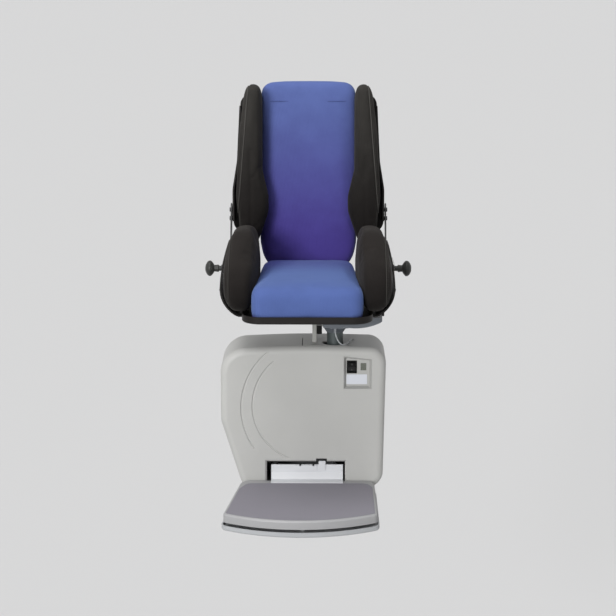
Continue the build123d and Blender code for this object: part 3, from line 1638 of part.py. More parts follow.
knob_neck = washer_inner + washer_height + rest_gap
knob_head = knob_neck + knob_neck_length
knob_reach = knob_head + knob_head_length

for knob_name, side in (("knob_left", -1), ("knob_right", 1)):
    with BuildPart() as knob:
        with BuildSketch(pivot_plane):
            with BuildLine():
                Polyline(
                    (side * (arm_inner - 8), 0),
                    (side * (arm_inner - 8), clamp_bolt_radius + 4),
                    (side * (arm_inner - rest_gap), clamp_bolt_radius + 4),
                    (side * (arm_inner - rest_gap), clamp_bolt_radius),
                    (side * knob_neck, clamp_bolt_radius),
                    (side * knob_neck, knob_neck_radius - 1.5),
                    (side * (knob_neck + 6), knob_neck_radius - 1.5),
                    (side * (knob_neck + 7.5), knob_neck_radius + 1.0),
                    (side * (knob_head - 1.0), knob_neck_radius),
                )
                ThreePointArc(
                    (side * (knob_head - 1.0), knob_neck_radius),
                    (side * (knob_head + 3.5), knob_radius * 0.8),
                    (side * (knob_head + 7.5), knob_radius),
                )
                ThreePointArc(
                    (side * (knob_head + 7.5), knob_radius),
                    (side * (knob_head + 13.0), knob_radius * 0.93),
                    (side * (knob_head + 17.0), knob_radius * 0.66),
                )
                ThreePointArc(
                    (side * (knob_head + 17.0), knob_radius * 0.66),
                    (side * (knob_head + 19.2), knob_radius * 0.4),
                    (side * knob_reach, knob_radius * 0.15),
                )
                Polyline(
                    (side * knob_reach, knob_radius * 0.15), (side * knob_reach, 0),
                    (side * (arm_inner - 8), 0),
                )
            make_face()
        revolve(axis=pivot_axis)
    knob.part.label = knob_name
    export_step(knob.part, f"parts/{knob_name}.step")


# ------------------------------------------------------------------- back rest

back_lean = radians(recline)
forward = Vector(0, -cos(back_lean), sin(back_lean))
upward = Vector(0, sin(back_lean), cos(back_lean))
back_origin = Vector(seat_middle_x, back_front_y, back_bottom_z)


def back_plane(depth):
    """Plane parallel to the back cushion's front, so far in front of it."""
    return Plane(origin=back_origin + forward * depth, x_dir=(1, 0, 0), z_dir=forward)


def side_plane(reach):
    """Plane across the back rest at a reach from its middle, with x to the rear and y up the back."""
    return Plane(origin=back_origin + Vector(reach, 0, 0), x_dir=-forward, z_dir=(1, 0, 0))


back_corners = [
    (-back_foot_half_width + 9.0, -back_drop),
    (back_foot_half_width - 9.0, -back_drop),
    (back_foot_half_width + 4.0, 6.0),
    (back_low_half_width, 38.0),
    (back_half_width, 78.0),
    (back_half_width, back_length - 4.0),
    (back_half_width * 0.5, back_length),
    (-back_half_width * 0.5, back_length),
    (-back_half_width, back_length - 4.0),
    (-back_half_width, 78.0),
    (-back_low_half_width, 38.0),
    (-back_foot_half_width - 4.0, 6.0),
]
back_rounds = [14.0, 14.0, 22.0, 40.0, 60.0, 26.0, 150.0, 150.0, 26.0, 60.0, 40.0, 22.0]
back_levels = [
    (-back_thickness, 7.0), (-back_thickness + 4.0, 2.0), (-back_thickness + 9.0, 0.0), (-16.0, 0.0),
    (-9.0, 3.0), (-4.5, 9.0), (-2.2, 20.0), (-0.6, 42.0), (0.0, 66.0),
]

with BuildPart() as back_cushion:
    loft(
        [padded_face(back_plane(depth), back_corners, back_rounds, inset) for depth, inset in back_levels],
        ruled=True,
    )
    with BuildSketch(back_plane(1)):
        with Locations((slit_left, slit_up), (slit_right, slit_up)):
            SlotOverall(slit_width, slit_height)
    extrude(amount=-slit_depth - 1, mode=Mode.SUBTRACT)

back_cushion.part.label = "back_cushion"
export_step(back_cushion.part, "parts/back_cushion.step")

wing_inner = wing_top_reach - wing_top_width
wing_top = back_length - 5.5
wing_levels = [
    (-38.0, 9.0, 0.04), (-34.0, 3.0, 0.04), (-28.0, 0.0, 0.04), (4.0, 0.0, 0.04), (16.0, 0.0, 0.75),
    (30.0, 0.0, 1.0), (48.0, 0.0, 1.0), (58.0, 2.5, 1.0), (65.0, 7.0, 1.0), (68.0, 11.0, 1.0),
]
wing_rounds = [16.0, 10.0, 10.0, 20.0, 20.0, 60.0, 15.0, 15.0, 200.0, 60.0]


def wing_corners(swell):
    return [
        (-wing_reach + 11.0, 46.0),
        (-wing_reach + 34.0, 38.0),
        (-wing_inner - 3.2, 43.0),
        (-wing_inner + wing_bulge * swell, 112.0),
        (-wing_inner + wing_bulge * swell, 147.0),
        (-wing_inner, 210.0),
        (-wing_inner, wing_top),
        (-wing_top_reach, wing_top),
        (-wing_reach + 7.7, 290.0),
        (-wing_reach, 145.0),
    ]


with BuildPart() as wing_pad_left:
    loft(
        [
            padded_face(back_plane(depth), wing_corners(swell), wing_rounds, inset)
            for depth, inset, swell in wing_levels
        ],
        ruled=True,
    )

wing_pad_left.part.label = "wing_pad_left"
export_step(wing_pad_left.part, "parts/wing_pad_left.step")

with BuildPart() as wing_pad_right:
    mirror(wing_pad_left.part, about=seat_middle_plane)

wing_pad_right.part.label = "wing_pad_right"
export_step(wing_pad_right.part, "parts/wing_pad_right.step")

shell_front_depth = -back_thickness - shell_gap
shell_corners = [
    (-shell_low_half_width, shell_low),
    (shell_low_half_width, shell_low),
    (shell_low_half_width, shell_flare),
    (shell_mid_half_width, shell_mid),
    (shell_top_half_width, shell_top),
    (-shell_top_half_width, shell_top),
    (-shell_mid_half_width, shell_mid),
    (-shell_low_half_width, shell_flare),
]
shell_rounds = [shell_round, shell_round, 90.0, 90.0, shell_round, shell_round, 90.0, 90.0]
wing_boss_reach = (wing_top_reach + wing_inner) / 2 + 6.0
wing_rear_depth = wing_levels[0][0]

# Back panel with two side flanges and a narrow tongue behind the cushion's foot.
with BuildPart() as back_shell:
    extrude(
        rounded_face(back_plane(shell_front_depth - shell_wall), shell_corners, shell_rounds),
        amount=shell_wall + shell_rim,
    )
    extrude(
        rounded_face(back_plane(shell_front_depth), shell_corners, shell_rounds, shell_wall),
        amount=shell_rim + 1, mode=Mode.SUBTRACT,
    )
    with BuildSketch(back_plane(shell_front_depth)):
        with Locations((0, shell_low), (0, shell_top)):
            Rectangle(2 * shell_low_half_width + 10, 2 * shell_round + 4)
    extrude(amount=shell_rim + 1, mode=Mode.SUBTRACT)
    with BuildSketch(back_plane(shell_front_depth)):
        with Locations(
            (-wing_boss_reach, wing_boss_low), (wing_boss_reach, wing_boss_low),
            (-wing_boss_reach, wing_boss_high), (wing_boss_reach, wing_boss_high),
        ):
            Circle(wing_boss_radius)
    extrude(amount=wing_rear_depth - shell_front_depth - rest_gap)
    with BuildSketch(back_plane(shell_front_depth - shell_wall)):
        with Locations((0, (tongue_low + shell_low) / 2 + 5)):
            RectangleRounded(2 * tongue_half_width, shell_low - tongue_low + 10, 4)
    extrude(amount=shell_wall)

back_shell.part.label = "back_shell"
export_step(back_shell.part, "parts/back_shell.step")

pivot_offset = Vector(0, pivot_y - back_front_y, pivot_z - back_bottom_z)
pivot_behind = -pivot_offset.dot(forward)
pivot_up = pivot_offset.dot(upward)
arm_behind = -shell_front_depth - shell_rim / 2
arm_bolt_low = 92.0
spacer_inner = shell_low_half_width + rest_gap

# Steel arms from the pivots up to the back shell, with their spacers and bolt heads.
with BuildPart() as side_arms:
    for side in (-1, 1):
        arm_face_reach = side * arm_inner if side > 0 else side * (arm_inner + arm_wall)
        with BuildSketch(side_plane(arm_face_reach)):
            with Locations((pivot_behind, pivot_up)):
                Circle(arm_width * 0.6)
            with Locations((arm_behind, arm_top - arm_width / 2)):
                Circle(arm_width / 2)
            make_hull()
        extrude(amount=arm_wall)
        for up in (arm_bolt_low, arm_top - arm_width / 2):
            start_reach = spacer_inner if side > 0 else -arm_inner - arm_wall - 3
            with BuildSketch(side_plane(start_reach)):
                with Locations((arm_behind, up)):
                    Circle(arm_bolt_radius)
            extrude(amount=arm_inner + arm_wall + 3 - spacer_inner)
    rod_x(
        clamp_bolt_radius + fit_gap, seat_middle_x - arm_inner - 10, seat_middle_x + arm_inner + 10,
        pivot_y, pivot_z, mode=Mode.SUBTRACT,
    )

side_arms.part.label = "side_arms"
export_step(side_arms.part, "parts/side_arms.step")
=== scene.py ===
import math

import bpy
import bmesh
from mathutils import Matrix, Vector
from mathutils.bvhtree import BVHTree


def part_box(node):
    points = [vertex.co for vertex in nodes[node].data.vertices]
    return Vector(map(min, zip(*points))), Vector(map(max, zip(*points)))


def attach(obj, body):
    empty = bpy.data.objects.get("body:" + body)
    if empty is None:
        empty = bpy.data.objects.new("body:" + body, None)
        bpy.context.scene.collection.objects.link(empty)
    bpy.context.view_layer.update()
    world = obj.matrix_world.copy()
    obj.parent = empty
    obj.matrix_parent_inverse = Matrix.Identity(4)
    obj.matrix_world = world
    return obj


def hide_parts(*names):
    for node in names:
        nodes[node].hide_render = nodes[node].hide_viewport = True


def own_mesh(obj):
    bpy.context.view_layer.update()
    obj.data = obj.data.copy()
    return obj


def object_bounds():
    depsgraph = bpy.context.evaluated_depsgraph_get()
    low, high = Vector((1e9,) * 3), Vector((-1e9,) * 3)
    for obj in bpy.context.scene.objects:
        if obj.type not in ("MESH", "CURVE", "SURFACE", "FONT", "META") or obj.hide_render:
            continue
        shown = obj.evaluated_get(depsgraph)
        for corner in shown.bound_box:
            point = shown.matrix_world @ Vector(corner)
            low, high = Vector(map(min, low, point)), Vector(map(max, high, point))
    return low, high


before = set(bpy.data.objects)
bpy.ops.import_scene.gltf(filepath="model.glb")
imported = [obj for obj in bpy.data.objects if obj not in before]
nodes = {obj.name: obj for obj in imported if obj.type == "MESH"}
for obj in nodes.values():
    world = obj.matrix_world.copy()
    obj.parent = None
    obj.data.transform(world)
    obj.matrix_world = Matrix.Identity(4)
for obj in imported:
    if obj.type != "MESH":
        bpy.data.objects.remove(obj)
cadLow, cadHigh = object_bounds()
print("frame loaded:", len(nodes), "nodes")

scene = bpy.context.scene
imageWidth = 616
fullTurn = 6.2832

# Camera fitted to the photograph: a long lens, a little above the seat, looking slightly down.
view = {
    "place": Vector((0.0365, -4.050, 1.047)),
    "down": math.radians(12.4),
    "turn": math.radians(0.4),
    "focalPixels": 1748.0,
    "sensor": 36.0,
    "farthest": 100.0,
}


def addCamera():
    data = bpy.data.cameras.new("photoCamera")
    data.sensor_width = view["sensor"]
    data.lens = view["focalPixels"] / imageWidth * view["sensor"]
    data.clip_end = view["farthest"]
    camera = bpy.data.objects.new("photoCamera", data)
    camera.location = view["place"]
    camera.rotation_euler = (math.pi / 2 - view["down"], 0.0, view["turn"])
    scene.collection.objects.link(camera)
    scene.camera = camera


addCamera()

# Cable of the seat switch: down from its clip, in a slack bow in front of the post, and into the cover.
seatCable = {
    "route": [
        (0.0710, -0.1930, 0.1510), (0.0710, -0.1930, 0.1430), (0.0730, -0.1940, 0.1340),
        (0.0780, -0.1945, 0.1220), (0.0855, -0.1930, 0.1140), (0.0935, -0.1860, 0.1116),
        (0.1010, -0.1690, 0.1126), (0.1075, -0.1500, 0.1144), (0.1116, -0.1350, 0.1146),
        (0.1120, -0.1255, 0.1100), (0.1120, -0.1240, 0.1000), (0.1120, -0.1240, 0.0920),
    ],
    "radius": 0.0014,
    "length": 0.1334,
    "exit": (0.0710, -0.1930, 0.1510),
}


def addSeatCable():
    data = bpy.data.curves.new("seatCable", "CURVE")
    data.dimensions = "3D"
    data.bevel_depth = 1.0
    data.bevel_resolution = 5
    data.resolution_u = 10
    data.use_fill_caps = True
    line = data.splines.new("NURBS")
    line.points.add(len(seatCable["route"]) - 1)
    for point, place in zip(line.points, seatCable["route"]):
        point.co = (*place, 1.0)
        point.radius = seatCable["radius"]
    line.order_u = 3
    line.use_endpoint_u = True
    cable = bpy.data.objects.new("seatCable", data)
    scene.collection.objects.link(cable)
    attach(cable, "carriage")
    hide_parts("seat_cable")
    return cable


cableCurve = addSeatCable()


# Constants are set on a socket directly, and anything else is linked to it.
def feed(tree, socket, value):
    if isinstance(value, (int, float)):
        socket.default_value = value
    else:
        tree.links.new(value, socket)


def math2(tree, operation, first, second):
    node = tree.nodes.new("ShaderNodeMath")
    node.operation = operation
    feed(tree, node.inputs[0], first)
    feed(tree, node.inputs[1], second)
    return node.outputs[0]


def times(tree, first, second):
    return math2(tree, "MULTIPLY", first, second)


def plus(tree, first, second):
    return math2(tree, "ADD", first, second)


# Soft studio light: a key and a broad fill from the front left, one light above, and a room brighter overhead.
suns = {
    "keyLight": {"from": (-0.45, -1.0, 0.30), "strength": 1.90, "softness": math.radians(18)},
    "fillLight": {"from": (-0.30, -1.0, 0.05), "strength": 0.62, "softness": math.radians(40)},
    "topLight": {"from": (-0.20, -0.30, 1.0), "strength": 1.70, "softness": math.radians(40)},
}
studio = {
    "floorDrop": 1.10,
    "floorTone": (0.60, 0.60, 0.60),
    "floorHalf": 200.0,
    "backdropTone": (0.679, 0.679, 0.679),
    "roomLow": (0.10, 0.10, 0.103),
    "roomHigh": (1.15, 1.15, 1.16),
    "roomRise": 4.0,
}


def addSun(name, sun):
    data = bpy.data.lights.new(name, "SUN")
    data.energy = sun["strength"]
    data.angle = sun["softness"]
    lamp = bpy.data.objects.new(name, data)
    lamp.rotation_euler = Vector(sun["from"]).to_track_quat("Z", "Y").to_euler()
    scene.collection.objects.link(lamp)


def addStudio():
    for name, sun in suns.items():
        addSun(name, sun)
    world = bpy.data.worlds.new("studioRoom")
    scene.world = world
    world.use_nodes = True
    tree = world.node_tree
    tree.nodes.clear()
    rays = tree.nodes.new("ShaderNodeLightPath")
    seen = rays.outputs["Is Camera Ray"]
    for kind in ("Is Glossy Ray", "Is Transmission Ray"):
        seen = math2(tree, "MAXIMUM", seen, rays.outputs[kind])
    toSky = tree.nodes.new("ShaderNodeTexCoord")
    heights = tree.nodes.new("ShaderNodeSeparateXYZ")
    tree.links.new(toSky.outputs["Generated"], heights.inputs[0])
    ramp = tree.nodes.new("ShaderNodeMix")
    ramp.data_type = "RGBA"
    ramp.inputs[6].default_value = (*studio["roomLow"], 1)
    ramp.inputs[7].default_value = (*studio["roomHigh"], 1)
    tree.links.new(math2(tree, "POWER", heights.outputs["Z"], studio["roomRise"]), ramp.inputs["Factor"])
    roomLight = tree.nodes.new("ShaderNodeBackground")
    tree.links.new(ramp.outputs[2], roomLight.inputs["Color"])
    backdrop = tree.nodes.new("ShaderNodeBackground")
    backdrop.inputs["Color"].default_value = (*studio["backdropTone"], 1)
    mix = tree.nodes.new("ShaderNodeMixShader")
    tree.links.new(seen, mix.inputs[0])
    tree.links.new(roomLight.outputs[0], mix.inputs[1])
    tree.links.new(backdrop.outputs[0], mix.inputs[2])
    out = tree.nodes.new("ShaderNodeOutputWorld")
    tree.links.new(mix.outputs[0], out.inputs["Surface"])
    scene.view_settings.view_transform = "Standard"

    half = studio["floorHalf"]
    mesh = bpy.data.meshes.new("studioFloor")
    drop = cadLow.z - studio["floorDrop"]
    mesh.from_pydata(
        [(-half, -half, drop), (half, -half, drop), (half, half, drop), (-half, half, drop)], [], [(0, 1, 2, 3)]
    )
    floor = bpy.data.objects.new("studioFloor", mesh)
    scene.collection.objects.link(floor)
    paint = bpy.data.materials.new("floorPaint")
    paint.use_nodes = True
    shader = paint.node_tree.nodes["Principled BSDF"]
    shader.inputs["Base Color"].default_value = (*studio["floorTone"], 1)
    shader.inputs["Roughness"].default_value = 1.0
    shader.inputs["Specular IOR Level"].default_value = 0.0
    mesh.materials.append(paint)


addStudio()
print("camera and studio ready")


# Shader groups that several materials share.
def newGroup(name, inputs, outputs):
    group = bpy.data.node_groups.new(name, "ShaderNodeTree")
    for label, kind, value in inputs:
        socket = group.interface.new_socket(label, in_out="INPUT", socket_type=kind)
        if value is not None:
            socket.default_value = value
    for label, kind in outputs:
        group.interface.new_socket(label, in_out="OUTPUT", socket_type=kind)
    return group, group.nodes.new("NodeGroupInput"), group.nodes.new("NodeGroupOutput")


def mapRange(tree, value, fromLow, fromHigh, toLow, toHigh):
    node = tree.nodes.new("ShaderNodeMapRange")
    for label, given in (("From Min", fromLow), ("From Max", fromHigh), ("To Min", toLow), ("To Max", toHigh)):
        node.inputs[label].default_value = given
    tree.links.new(value, node.inputs["Value"])
    return node.outputs["Result"]


def noiseAt(tree, vector, scale, detail=2.0, roughness=0.5):
    node = tree.nodes.new("ShaderNodeTexNoise")
    feed(tree, node.inputs["Scale"], scale)
    node.inputs["Detail"].default_value = detail
    node.inputs["Roughness"].default_value = roughness
    tree.links.new(vector, node.inputs["Vector"])
    return node.outputs["Fac"]


# How far the gloss of moulded plastic and paint swings with its blotches.
polishSwing = 0.16
# Knitted loops: how far the rows and wales lean with depth, how far a row bends the wales, and the fuzz on top.
knitting = {"waleLean": 0.55, "rowLean": 0.8, "bend": 0.8, "loopHeight": 0.5, "fuzzScale": 2600.0}


def buildMouldedGroup():
    group, given, out = newGroup(
        "mouldedSurface",
        [
            ("Vector", "NodeSocketVector", None), ("Grain Scale", "NodeSocketFloat", 900.0),
            ("Blotch Scale", "NodeSocketFloat", 14.0), ("Blotch Amount", "NodeSocketFloat", 0.04),
        ],
        [("Shade", "NodeSocketFloat"), ("Height", "NodeSocketFloat"), ("Polish", "NodeSocketFloat")],
    )
    grain = noiseAt(group, given.outputs["Vector"], given.outputs["Grain Scale"], 3.0)
    blotch = noiseAt(group, given.outputs["Vector"], given.outputs["Blotch Scale"], 4.0)
    centred = math2(group, "SUBTRACT", blotch, 0.5)
    swing = times(group, centred, given.outputs["Blotch Amount"])
    group.links.new(plus(group, times(group, swing, 2.0), 1.0), out.inputs["Shade"])
    group.links.new(grain, out.inputs["Height"])
    group.links.new(times(group, centred, polishSwing), out.inputs["Polish"])
    return group


def buildKnitGroup():
    group, given, out = newGroup(
        "knitCloth",
        [
            ("Vector", "NodeSocketVector", None), ("Rows", "NodeSocketFloat", 420.0),
            ("Wales", "NodeSocketFloat", 420.0), ("Fuzz", "NodeSocketFloat", 0.25),
        ],
        [("Shade", "NodeSocketFloat"), ("Height", "NodeSocketFloat")],
    )
    parts = group.nodes.new("ShaderNodeSeparateXYZ")
    group.links.new(given.outputs["Vector"], parts.inputs[0])
    across = plus(group, parts.outputs["X"], times(group, parts.outputs["Y"], knitting["waleLean"]))
    up = plus(group, parts.outputs["Z"], times(group, parts.outputs["Y"], knitting["rowLean"]))
    rowPhase = times(group, times(group, up, given.outputs["Rows"]), fullTurn)
    walePhase = times(group, times(group, across, given.outputs["Wales"]), fullTurn)
    rowWave = math2(group, "SINE", rowPhase, 0.0)
    bentPhase = plus(group, walePhase, times(group, rowWave, knitting["bend"]))
    loops = times(group, rowWave, math2(group, "SINE", bentPhase, 0.0))
    fuzz = noiseAt(group, given.outputs["Vector"], knitting["fuzzScale"])
    fuzzed = times(group, fuzz, given.outputs["Fuzz"])
    height = plus(group, times(group, loops, knitting["loopHeight"]), fuzzed)
    group.links.new(height, out.inputs["Height"])
    group.links.new(mapRange(group, height, -0.5, 0.8, 0.86, 1.10), out.inputs["Shade"])
    return group


def buildEdgeGroup():
    group, given, out = newGroup(
        "edgeWear",
        [("Vector", "NodeSocketVector", None), ("Width", "NodeSocketFloat", 0.0012)],
        [("Mask", "NodeSocketFloat")],
    )
    softened = group.nodes.new("ShaderNodeBevel")
    softened.samples = 4
    group.links.new(given.outputs["Width"], softened.inputs["Radius"])
    surface = group.nodes.new("ShaderNodeNewGeometry")
    dot = group.nodes.new("ShaderNodeVectorMath")
    dot.operation = "DOT_PRODUCT"
    group.links.new(softened.outputs[0], dot.inputs[0])
    group.links.new(surface.outputs["Normal"], dot.inputs[1])
    edge = mapRange(group, dot.outputs["Value"], 0.995, 0.86, 0.0, 1.0)
    patches = noiseAt(group, given.outputs["Vector"], 90.0, 5.0, 0.65)
    broken = mapRange(group, patches, 0.42, 0.62, 0.0, 1.0)
    group.links.new(times(group, edge, broken), out.inputs["Mask"])
    return group


mouldedGroup = buildMouldedGroup()
knitGroup = buildKnitGroup()
edgeGroup = buildEdgeGroup()


class Finish:
    # A material with its Principled shader and object coordinates at hand.
    def __init__(self, name, colour, roughness, specular=0.5, metallic=0.0):
        self.material = bpy.data.materials.new(name)
        self.material.use_nodes = True
        self.tree = self.material.node_tree
        self.shader = self.tree.nodes["Principled BSDF"]
        self.colour = colour
        self.roughness = roughness
        self.shader.inputs["Base Color"].default_value = (*colour, 1)
        self.shader.inputs["Roughness"].default_value = roughness
        self.shader.inputs["Specular IOR Level"].default_value = specular
        self.shader.inputs["Metallic"].default_value = metallic
        self.where = self.tree.nodes.new("ShaderNodeTexCoord").outputs["Object"]
        self.soft = None

    def parts(self):
        split = self.tree.nodes.new("ShaderNodeSeparateXYZ")
        self.tree.links.new(self.where, split.inputs[0])
        return split.outputs

    def place(self, group, **values):
        node = self.tree.nodes.new("ShaderNodeGroup")
        node.node_tree = group
        self.tree.links.new(self.where, node.inputs["Vector"])
        for label, value in values.items():
            node.inputs[label.replace("_", " ")].default_value = value
        return node

    def shade(self, factor, colour=None):
        # Base colour times a factor that changes over the surface.
        scale = self.tree.nodes.new("ShaderNodeVectorMath")
        scale.operation = "SCALE"
        if colour is None:
            scale.inputs[0].default_value = self.colour
        else:
            self.tree.links.new(colour, scale.inputs[0])
        self.tree.links.new(factor, scale.inputs["Scale"])
        return scale.outputs[0]

    def blend(self, factor, first, second):
        mix = self.tree.nodes.new("ShaderNodeMix")
        mix.data_type = "RGBA"
        self.tree.links.new(factor, mix.inputs["Factor"])
        for slot, value in ((mix.inputs[6], first), (mix.inputs[7], second)):
            if isinstance(value, tuple):
                slot.default_value = (*value, 1)
            else:
                self.tree.links.new(value, slot)
        return mix.outputs[2]

    def polish(self, mould):
        # Roughness that swings with the moulded surface's blotches.
        self.link(plus(self.tree, mould.outputs["Polish"], self.roughness), "Roughness")

    def soften(self, radius):
        # A rounded look on the edges that the solids leave sharp.
        self.soft = self.tree.nodes.new("ShaderNodeBevel")
        self.soft.samples = 4
        self.soft.inputs["Radius"].default_value = radius

    def bump(self, height, strength, distance):
        node = self.tree.nodes.new("ShaderNodeBump")
        if self.soft is not None:
            self.tree.links.new(self.soft.outputs[0], node.inputs["Normal"])
        node.inputs["Strength"].default_value = strength
        node.inputs["Distance"].default_value = distance
        self.tree.links.new(height, node.inputs["Height"])
        self.tree.links.new(node.outputs[0], self.shader.inputs["Normal"])
        return node

    def link(self, output, socket):
        self.tree.links.new(output, self.shader.inputs[socket])


def mouldedPlastic(name, colour, roughness, grain=900.0, depth=0.00012, blotch=0.04, specular=0.4, edge=0.0006):
    finish = Finish(name, colour, roughness, specular)
    mould = finish.place(mouldedGroup, Grain_Scale=grain, Blotch_Amount=blotch)
    finish.link(finish.shade(mould.outputs["Shade"]), "Base Color")
    finish.polish(mould)
    finish.soften(edge)
    finish.bump(mould.outputs["Height"], 0.35, depth)
    return finish.material


def paintedSteel(name, colour, roughness, wearColour, grain=500.0, wear=0.0012, metallic=0.0, specular=0.5):
    finish = Finish(name, colour, roughness, specular, metallic)
    mould = finish.place(mouldedGroup, Grain_Scale=grain, Blotch_Amount=0.07)
    edges = finish.place(edgeGroup, Width=wear)
    base = finish.shade(mould.outputs["Shade"])
    finish.link(finish.blend(edges.outputs["Mask"], base, wearColour), "Base Color")
    finish.polish(mould)
    finish.soften(0.0006)
    finish.bump(mould.outputs["Height"], 0.3, 0.0002)
    return finish.material


def machinedMetal(name, colour, roughness, stretch=(6.0, 260.0, 260.0)):
    finish = Finish(name, colour, roughness, 0.5, 1.0)
    turned = finish.tree.nodes.new("ShaderNodeMapping")
    turned.inputs["Scale"].default_value = stretch
    finish.tree.links.new(finish.where, turned.inputs["Vector"])
    lines = noiseAt(finish.tree, turned.outputs["Vector"], 3.0, 3.0)
    finish.link(finish.shade(mapRange(finish.tree, lines, 0.3, 0.7, 0.86, 1.06)), "Base Color")
    finish.link(mapRange(finish.tree, lines, 0.3, 0.7, roughness - 0.06, roughness + 0.1), "Roughness")
    finish.soften(0.0004)
    finish.bump(lines, 0.15, 0.0001)
    return finish.material


matDotsPerMetre = 260.0


def ribbedRubber(name, colour, roughness):
    # Fine raised dots in rows, as on a rubber step mat.
    finish = Finish(name, colour, roughness, 0.25)
    tree = finish.tree
    parts = finish.parts()
    waves = [math2(tree, "SINE", times(tree, parts[axis], fullTurn * matDotsPerMetre), 0.0) for axis in ("X", "Y")]
    dots = mapRange(tree, times(tree, waves[0], waves[1]), 0.1, 0.7, 0.0, 1.0)
    mould = finish.place(mouldedGroup, Grain_Scale=420.0, Blotch_Scale=9.0, Blotch_Amount=0.05)
    toned = times(tree, mould.outputs["Shade"], mapRange(tree, dots, 0.0, 1.0, 0.96, 1.06))
    finish.link(finish.shade(toned), "Base Color")
    finish.polish(mould)
    finish.bump(dots, 0.5, 0.0004)
    return finish.material


# Worn patches, soft folds and the wobble of the painted shade ramp, on every cloth.
clothWear = {"patchScale": 22.0, "shadeRampWobble": 0.05, "foldScale": 38.0, "foldDepth": 0.0022}


def knitFabric(name, fabric):
    # Knitted cloth with painted shade: its colour is ramped from a darker shaded colour at one end of the piece to a
    # lighter lit colour at the other.
    finish = Finish(name, fabric["colour"], fabric["roughness"], 0.1)
    tree = finish.tree
    knit = finish.place(knitGroup, Rows=fabric["rows"], Wales=fabric["rows"], Fuzz=fabric["fuzz"])
    patches = noiseAt(tree, finish.where, clothWear["patchScale"], 4.0, 0.6)
    worn = times(tree, knit.outputs["Shade"], mapRange(tree, patches, 0.3, 0.7, 0.95, 1.05))
    tone = finish.colour
    # Painted shade: each ramp blends the shaded base colour into the lighter lit colour along one axis.
    for axis, low, high, paintedLitColour in fabric["paintedShadeRamps"]:
        wobble = times(tree, math2(tree, "SUBTRACT", patches, 0.5), clothWear["shadeRampWobble"])
        ramp = tree.nodes.new("ShaderNodeMapRange")
        ramp.interpolation_type = "SMOOTHSTEP"
        ramp.inputs["From Min"].default_value = low
        ramp.inputs["From Max"].default_value = high
        tree.links.new(plus(tree, finish.parts()[axis], wobble), ramp.inputs["Value"])
        tone = finish.blend(ramp.outputs["Result"], tone, paintedLitColour)
    finish.link(finish.shade(worn, None if isinstance(tone, tuple) else tone), "Base Color")
    finish.shader.inputs["Sheen Weight"].default_value = fabric["sheen"]
    finish.shader.inputs["Sheen Roughness"].default_value = 0.45
    finish.shader.inputs["Sheen Tint"].default_value = (*fabric["sheenTint"], 1)
    folds = finish.bump(noiseAt(tree, finish.where, clothWear["foldScale"], 3.0, 0.55), 0.22, clothWear["foldDepth"])
    weave = tree.nodes.new("ShaderNodeBump")
    weave.inputs["Strength"].default_value = 0.5
    weave.inputs["Distance"].default_value = fabric["depth"]
    tree.links.new(knit.outputs["Height"], weave.inputs["Height"])
    tree.links.new(folds.outputs[0], weave.inputs["Normal"])
    finish.link(weave.outputs[0], "Normal")
    return finish.material


coverPlastic = mouldedPlastic("coverPlastic", (0.43, 0.43, 0.415), 0.48, 700.0, 0.00016)
shellPlastic = mouldedPlastic("footrestPlastic", (0.31, 0.31, 0.315), 0.42, 900.0)
trayPlastic = mouldedPlastic("panPlastic", (0.36, 0.37, 0.38), 0.42, 900.0)
whitePlastic = mouldedPlastic("flapPlastic", (0.62, 0.63, 0.65), 0.38, 900.0)
consolePlastic = mouldedPlastic("consolePlastic", (0.40, 0.40, 0.385), 0.45, 800.0, edge=0.0012)
ductPlastic = mouldedPlastic("ductPlastic", (0.42, 0.42, 0.40), 0.4, 800.0)
blackPlastic = mouldedPlastic("blackPlastic", (0.0115, 0.0100, 0.0095), 0.46, 600.0, 0.0002, 0.10, 0.16)
glossBlack = mouldedPlastic("glossBlack", (0.0075, 0.0075, 0.0075), 0.30, 1500.0, 0.00003, 0.04, 0.14)
charcoalPlastic = mouldedPlastic("charcoalPlastic", (0.030, 0.031, 0.029), 0.42, 700.0, 0.0002, 0.10, 0.25)
boardPlate = mouldedPlastic("barePlate", (0.60, 0.62, 0.67), 0.35, 1200.0, 0.00003, 0.02)
batteryPlastic = mouldedPlastic("batteryPlastic", (0.03, 0.032, 0.035), 0.5, 500.0, 0.0002, 0.10)
rollerTread = mouldedPlastic("rollerTread", (0.05, 0.05, 0.052), 0.55, 400.0, 0.0003, 0.15)
cableRubber = mouldedPlastic("cableJacket", (0.42, 0.44, 0.45), 0.4, 1500.0, 0.00004, 0.05)
markPaint = mouldedPlastic("markPaint", (0.11, 0.11, 0.11), 0.5, 1500.0, 0.00002, 0.05)
matRubber = ribbedRubber("matRubber", (0.235, 0.225, 0.255), 0.72)
chassisSteel = paintedSteel("chassisPaint", (0.16, 0.165, 0.17), 0.5, (0.42, 0.42, 0.41))
postPaint = paintedSteel("postPaint", (0.066, 0.080, 0.080), 0.36, (0.30, 0.33, 0.32), 600.0, 0.0015, 0.25)
castingPaint = paintedSteel("castingPaint", (0.150, 0.165, 0.185), 0.38, (0.36, 0.38, 0.40), 300.0, 0.002, 0.30)
darkPaint = paintedSteel("darkPaint", (0.018, 0.018, 0.019), 0.38, (0.10, 0.10, 0.10), 500.0, 0.0015)
zincSteel = machinedMetal("zincSteel", (0.52, 0.53, 0.54), 0.34)
toolSteel = machinedMetal("toolSteel", (0.42, 0.43, 0.44), 0.3)
polishedSteel = machinedMetal("polishedSteel", (0.62, 0.62, 0.61), 0.22, (40.0, 260.0, 260.0))
bronze = machinedMetal("bearingBronze", (0.42, 0.29, 0.14), 0.35)
